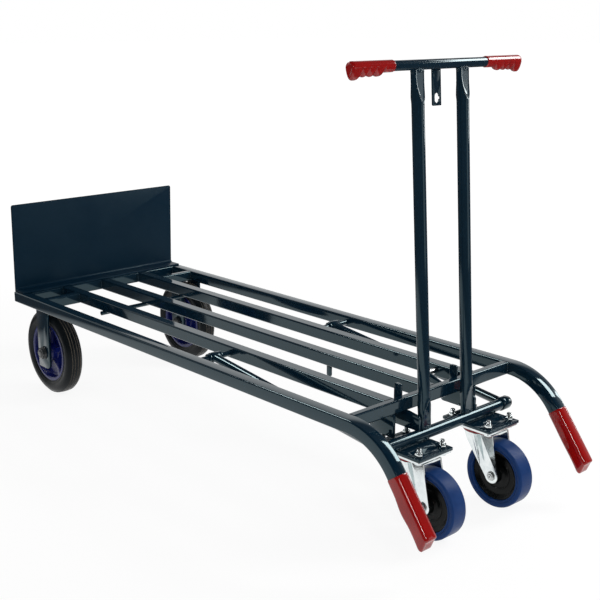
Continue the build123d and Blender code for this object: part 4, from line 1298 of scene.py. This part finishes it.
@dataclass
class Welds:
    """Weld beads where the painted pieces meet."""

    finishes: Finishes
    radius: float = 1.7
    pitch: float = 1.5
    seed: int = 4
    tuck: float = 0.4
    inset: float = 3.5
    crimp: Pair = (13.4, 5.4)
    foot_radius: float = 10.65
    head_radius: float = 8.6
    leg_inset: float = 3.0
    plate_seam: float = 5.2
    plate_inset: float = 4.0
    post_beads: tuple[Pair, ...] = ((0.3, 1.0), (2.2, 1.03), (4.0, 1.0))

    def row(self, name: str, body: str, lines: Sequence[Ring]) -> None:
        """Lays beads along lines and puts them on a body.

        Args:
            name: The piece's name.
            body: The body that carries the welds.
            lines: Point rows in metres.
        """
        bm = bmesh.new()
        for line in lines:
            verts = [bm.verts.new(point) for point in line]
            for first, second in zip(verts, verts[1:]):
                bm.edges.new((first, second))
        sizes = {"Radius": self.radius * MM, "Pitch": self.pitch * MM, "Seed": self.seed}
        values = {**sizes, "Material": self.finishes[Look.PAINT]}
        settle(grown(bare_object(name, bm), WELD, values), body, Slot.PAINT)

    def tube_seams(self, node: str, shift: float) -> list[Ring]:
        """The four upright seams at the corners of a deck tube.

        Args:
            node: The tube's node.
            shift: How far the seams lie inside the tube's length and outside its width, in metres.

        Returns:
            The seams in metres.
        """
        bar_low, bar_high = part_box("deck_bar_middle")
        heights = (bar_low.z + self.inset * MM, bar_high.z - self.inset * MM)
        start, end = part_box(node)
        lines = []
        for x in (start.x + shift, end.x - shift):
            for y in (start.y - shift, end.y + shift):
                lines.append([Vector((x, y, z)) for z in heights])
        return lines

    def deck_lines(self) -> list[Ring]:
        """Upright seams where deck tubes meet and seams along the legs and gussets.

        Returns:
            The seams in metres.
        """
        lines = []
        tuck, inset = self.tuck * MM, self.leg_inset * MM
        across = ("toe_cross_tube", "handle_cross_tube", "wheel_cross_tube_left", "wheel_cross_tube_right")
        plates = ("wheel_leg_outer_left", "wheel_leg_outer_right", "frame_gusset_left", "frame_gusset_right")
        for node in ("deck_bar_left", "deck_bar_middle", "deck_bar_right"):
            lines += self.tube_seams(node, tuck)
        for node in across:
            lines += self.tube_seams(node, -tuck)
        for node in plates:
            start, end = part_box(node)
            for y in (start.y - tuck, end.y + tuck):
                lines.append([Vector((x, y, end.z - tuck)) for x in (start.x + inset, end.x - inset)])
        return lines

    def post_seam(self, centre: Vector, radius: float, lean: Vector, way: float, bead: Pair) -> Ring:
        """One bead line round the pressed end of an upright, saddled on the tube that it meets.

        Args:
            centre: The point on that tube's axis, in metres.
            radius: That tube's radius in millimetres.
            lean: The upright's direction.
            way: 1 at the upright's foot, -1 at its head.
            bead: The line's height above the tube in millimetres and its size against the pressed end.

        Returns:
            The line's points.
        """
        lift, grow = bead
        wide, deep = self.crimp
        ring = []
        for step in range(25):
            angle = math.tau * step / 24
            a, b = wide * MM * grow * math.cos(angle), deep * MM * grow * math.sin(angle)
            saddle = math.sqrt(max(0.0, (radius * MM) ** 2 - b ** 2))
            rise = saddle + lift * MM * (1.0 + 0.3 * math.sin(5 * angle))
            across = Vector((lean.z, 0.0, -lean.x)) * b
            ring.append(Vector((centre.x, centre.y + a, centre.z)) + across + lean * rise * way)
        return ring

    def frame_lines(self) -> list[Ring]:
        """Seams round the feet and heads of the uprights and along the castor plates.

        Returns:
            The seams in metres.
        """
        lines = []
        cross, bar = middle_of("castor_cross_tube"), middle_of("handle_bar")
        lean = (bar - cross).normalized()
        for side in Side:
            post = middle_of(f"upright_{side.label}")
            for end, radius, way in ((cross, self.foot_radius, 1.0), (bar, self.head_radius, -1.0)):
                centre = Vector((end.x, post.y, end.z))
                for bead in self.post_beads:
                    lines.append(self.post_seam(centre, radius, lean, way, bead))
            low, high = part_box(f"castor_mount_plate_{side.label}")
            z, inset = high.z + self.tuck * MM, self.plate_inset * MM
            for x in (cross.x - self.plate_seam * MM, cross.x + self.plate_seam * MM):
                lines.append([Vector((x, y, z)) for y in (low.y + inset, high.y - inset)])
        return lines

    def build(self) -> None:
        """Lays the seams of the deck and of the castor frame."""
        self.row("deck_welds", "main_frame", self.deck_lines())
        self.row("castor_frame_welds", "castor_frame", self.frame_lines())


@dataclass
class Studio:
    """The pale floor, the soft lights and the camera at the picture's angle, in metres."""

    eye: Triple = (1.6355, -1.3926, 0.8762)
    yaw: float = 47.61
    pitch: float = 15.03
    lens: float = 63.43
    ambient: float = 0.46
    room: float = 0.1
    wall: Pair = (0.08, 0.36)
    roof: Pair = (0.42, 0.62)
    floor_half: float = 30.0
    floor_z: float = -0.0002
    floor_glow: float = 1.06
    sheet: Pair = (0.3, -0.5)
    sheet_edge: Pair = (1.2, 1.5)
    shadow_edge: Pair = (1.0, 2.6)
    shadow_glow: float = 0.84

    @staticmethod
    def seen(tree: NodeTree) -> tuple[NodeSocket, NodeSocket]:
        """Tells the kinds of rays apart.

        Args:
            tree: The node tree.

        Returns:
            Sockets that are 1 for camera rays, and for glossy and transmission rays.
        """
        path = add_node(tree, "ShaderNodeLightPath")
        mirrored = maths(tree, "MAXIMUM", path["Is Glossy Ray"], path["Is Transmission Ray"])
        return path["Is Camera Ray"], mirrored

    def backdrop(self) -> None:
        """Makes the world: soft light, and a white backdrop in a dark room where it is seen or mirrored."""
        world = bpy.data.worlds.new("studio")
        bpy.context.scene.world = world
        world.use_nodes = True
        tree = world.node_tree
        soft = fill(tree, tree.nodes["Background"], {"Color": WHITE, "Strength": self.ambient})
        place = add_node(tree, "ShaderNodeTexCoord")["Generated"]
        height = add_node(tree, "ShaderNodeSeparateXYZ", {"Vector": place})["Z"]
        turn = math.radians(self.yaw)
        away = {0: place, 1: (-math.sin(turn), math.cos(turn), 0.0)}
        behind = add_node(tree, "ShaderNodeVectorMath", away, operation="DOT_PRODUCT")["Value"]
        wall = ramp(tree, behind, self.wall, (self.room, 1.0))
        roof = ramp(tree, height, self.roof, (1.0, self.room))
        camera, mirrored = self.seen(tree)
        bright = maths(tree, "MAXIMUM", camera, maths(tree, "MULTIPLY", wall, roof))
        plain = add_node(tree, "ShaderNodeBackground", {"Color": WHITE, "Strength": bright})
        share = maths(tree, "MAXIMUM", camera, mirrored)
        mix = add_node(tree, "ShaderNodeMixShader", {0: share, 1: soft[0], 2: plain[0]})
        fill(tree, tree.nodes["World Output"], {"Surface": mix[0]})

    def floor(self) -> None:
        """Lays a wide white floor with a soft shadow, greyer away from the truck where it is mirrored."""
        half = self.floor_half
        bm = bmesh.new()
        bm.faces.new([bm.verts.new((x * half, y * half, self.floor_z)) for x, y in SQUARE])
        material = bpy.data.materials.new("pale_floor")
        material.use_nodes = True
        tree = material.node_tree
        matt = {"Base Color": (0.9, 0.9, 0.9, 1.0), "Roughness": 0.9, "Specular IOR Level": 0.0}
        shader = fill(tree, tree.nodes["Principled BSDF"], matt)
        place = add_node(tree, "ShaderNodeTexCoord")["Object"]
        away = add_node(tree, "ShaderNodeVectorMath", {0: place}, operation="LENGTH")["Value"]
        spot = {0: place, 1: (*self.sheet, 0.0)}
        sheet = add_node(tree, "ShaderNodeVectorMath", spot, operation="DISTANCE")["Value"]
        near = ramp(tree, sheet, self.sheet_edge, (1.0, self.room))
        camera, mirrored = self.seen(tree)
        bright = maths(tree, "MULTIPLY", maths(tree, "MAXIMUM", camera, near), self.floor_glow)
        glow = add_node(tree, "ShaderNodeEmission", {"Strength": bright})
        fade = ramp(tree, away, self.shadow_edge, (self.shadow_glow, 1.0))
        share = maths(tree, "MAXIMUM", maths(tree, "MULTIPLY", camera, fade), mirrored)
        mix = add_node(tree, "ShaderNodeMixShader", {0: share, 1: shader[0], 2: glow[0]})
        fill(tree, tree.nodes["Material Output"], {"Surface": mix[0]})
        finished("studio_floor", bm, [material], 30)

    @staticmethod
    def light(
        name: str, place: Triple, size: Pair, watts: float, aim: Triple = (0.0, 0.0, 0.3),
        glossy: bool = True, diffuse: bool = True,
    ) -> None:
        """Hangs one soft box.

        Args:
            name: The light's name.
            place: Its place.
            size: Its width and height.
            watts: Its power.
            aim: The point that it faces.
            glossy: Whether gloss shows it.
            diffuse: Whether it lights matt colour.
        """
        data = bpy.data.lights.new(name, "AREA")
        data.shape = "RECTANGLE"
        data.size, data.size_y = size
        data.energy = watts
        lamp = bpy.data.objects.new(name, data)
        lamp.location = place
        lamp.visible_glossy = glossy
        lamp.visible_diffuse = diffuse
        lamp.rotation_euler = (Vector(aim) - Vector(place)).to_track_quat("-Z", "Y").to_euler()
        bpy.context.scene.collection.objects.link(lamp)

    def camera(self) -> None:
        """Sets the camera at the picture's angle."""
        data = bpy.data.cameras.new("camera")
        data.sensor_width = 36.0
        data.lens = self.lens
        data.clip_end = 100.0
        eye = bpy.data.objects.new("camera", data)
        eye.location = self.eye
        eye.rotation_euler = (math.radians(90 - self.pitch), 0.0, math.radians(self.yaw))
        bpy.context.scene.collection.objects.link(eye)
        bpy.context.scene.camera = eye

    def build(self) -> None:
        """Builds the whole studio."""
        bpy.context.scene.view_settings.view_transform = "Standard"
        self.backdrop()
        self.floor()
        self.light("key_panel", (1.2, 2.24, 2.1), (0.82, 1.3), 46.0, (0.4575, 2.24, 0.8))
        self.light("rear_strip", (1.13, 2.2, 0.9), (0.26, 0.7), 7.0, (0.46, 0.0, 0.75))
        self.light("side_panel", (2.4, 1.0, 0.62), (1.1, 0.9), 2.6, (0.46, 0.0, 0.6))
        self.light("front_fill", (1.2, -3.2, 2.4), (1.8, 1.2), 6.0, glossy=False)
        self.light("rod_box", (-0.9, -0.53, 1.74), (0.5, 0.6), 17.0, (0.25, -0.17, 0.19), diffuse=False)
        self.light("edge_box", (2.5, -1.23, 1.53), (0.3, 0.3), 8.0, (0.6, -0.1, 0.15))
        self.camera()


WELD = weld_tree()
POLAR = polar_tree()
THREAD = thread_tree()


def main() -> None:
    """Builds the studio, then every sub-assembly."""
    logging.basicConfig(level=logging.INFO, format="%(name)s: %(message)s")
    Studio().build()
    finishes = Finishes()
    DeckFrame(finishes).build()
    for side in Side:
        FixedWheel(finishes, side).build()
        Castor(finishes, side).build()
    HandleFrame(finishes).build()
    Stays(finishes).build()
    Welds(finishes).build()


if __name__ == "__main__":
    main()
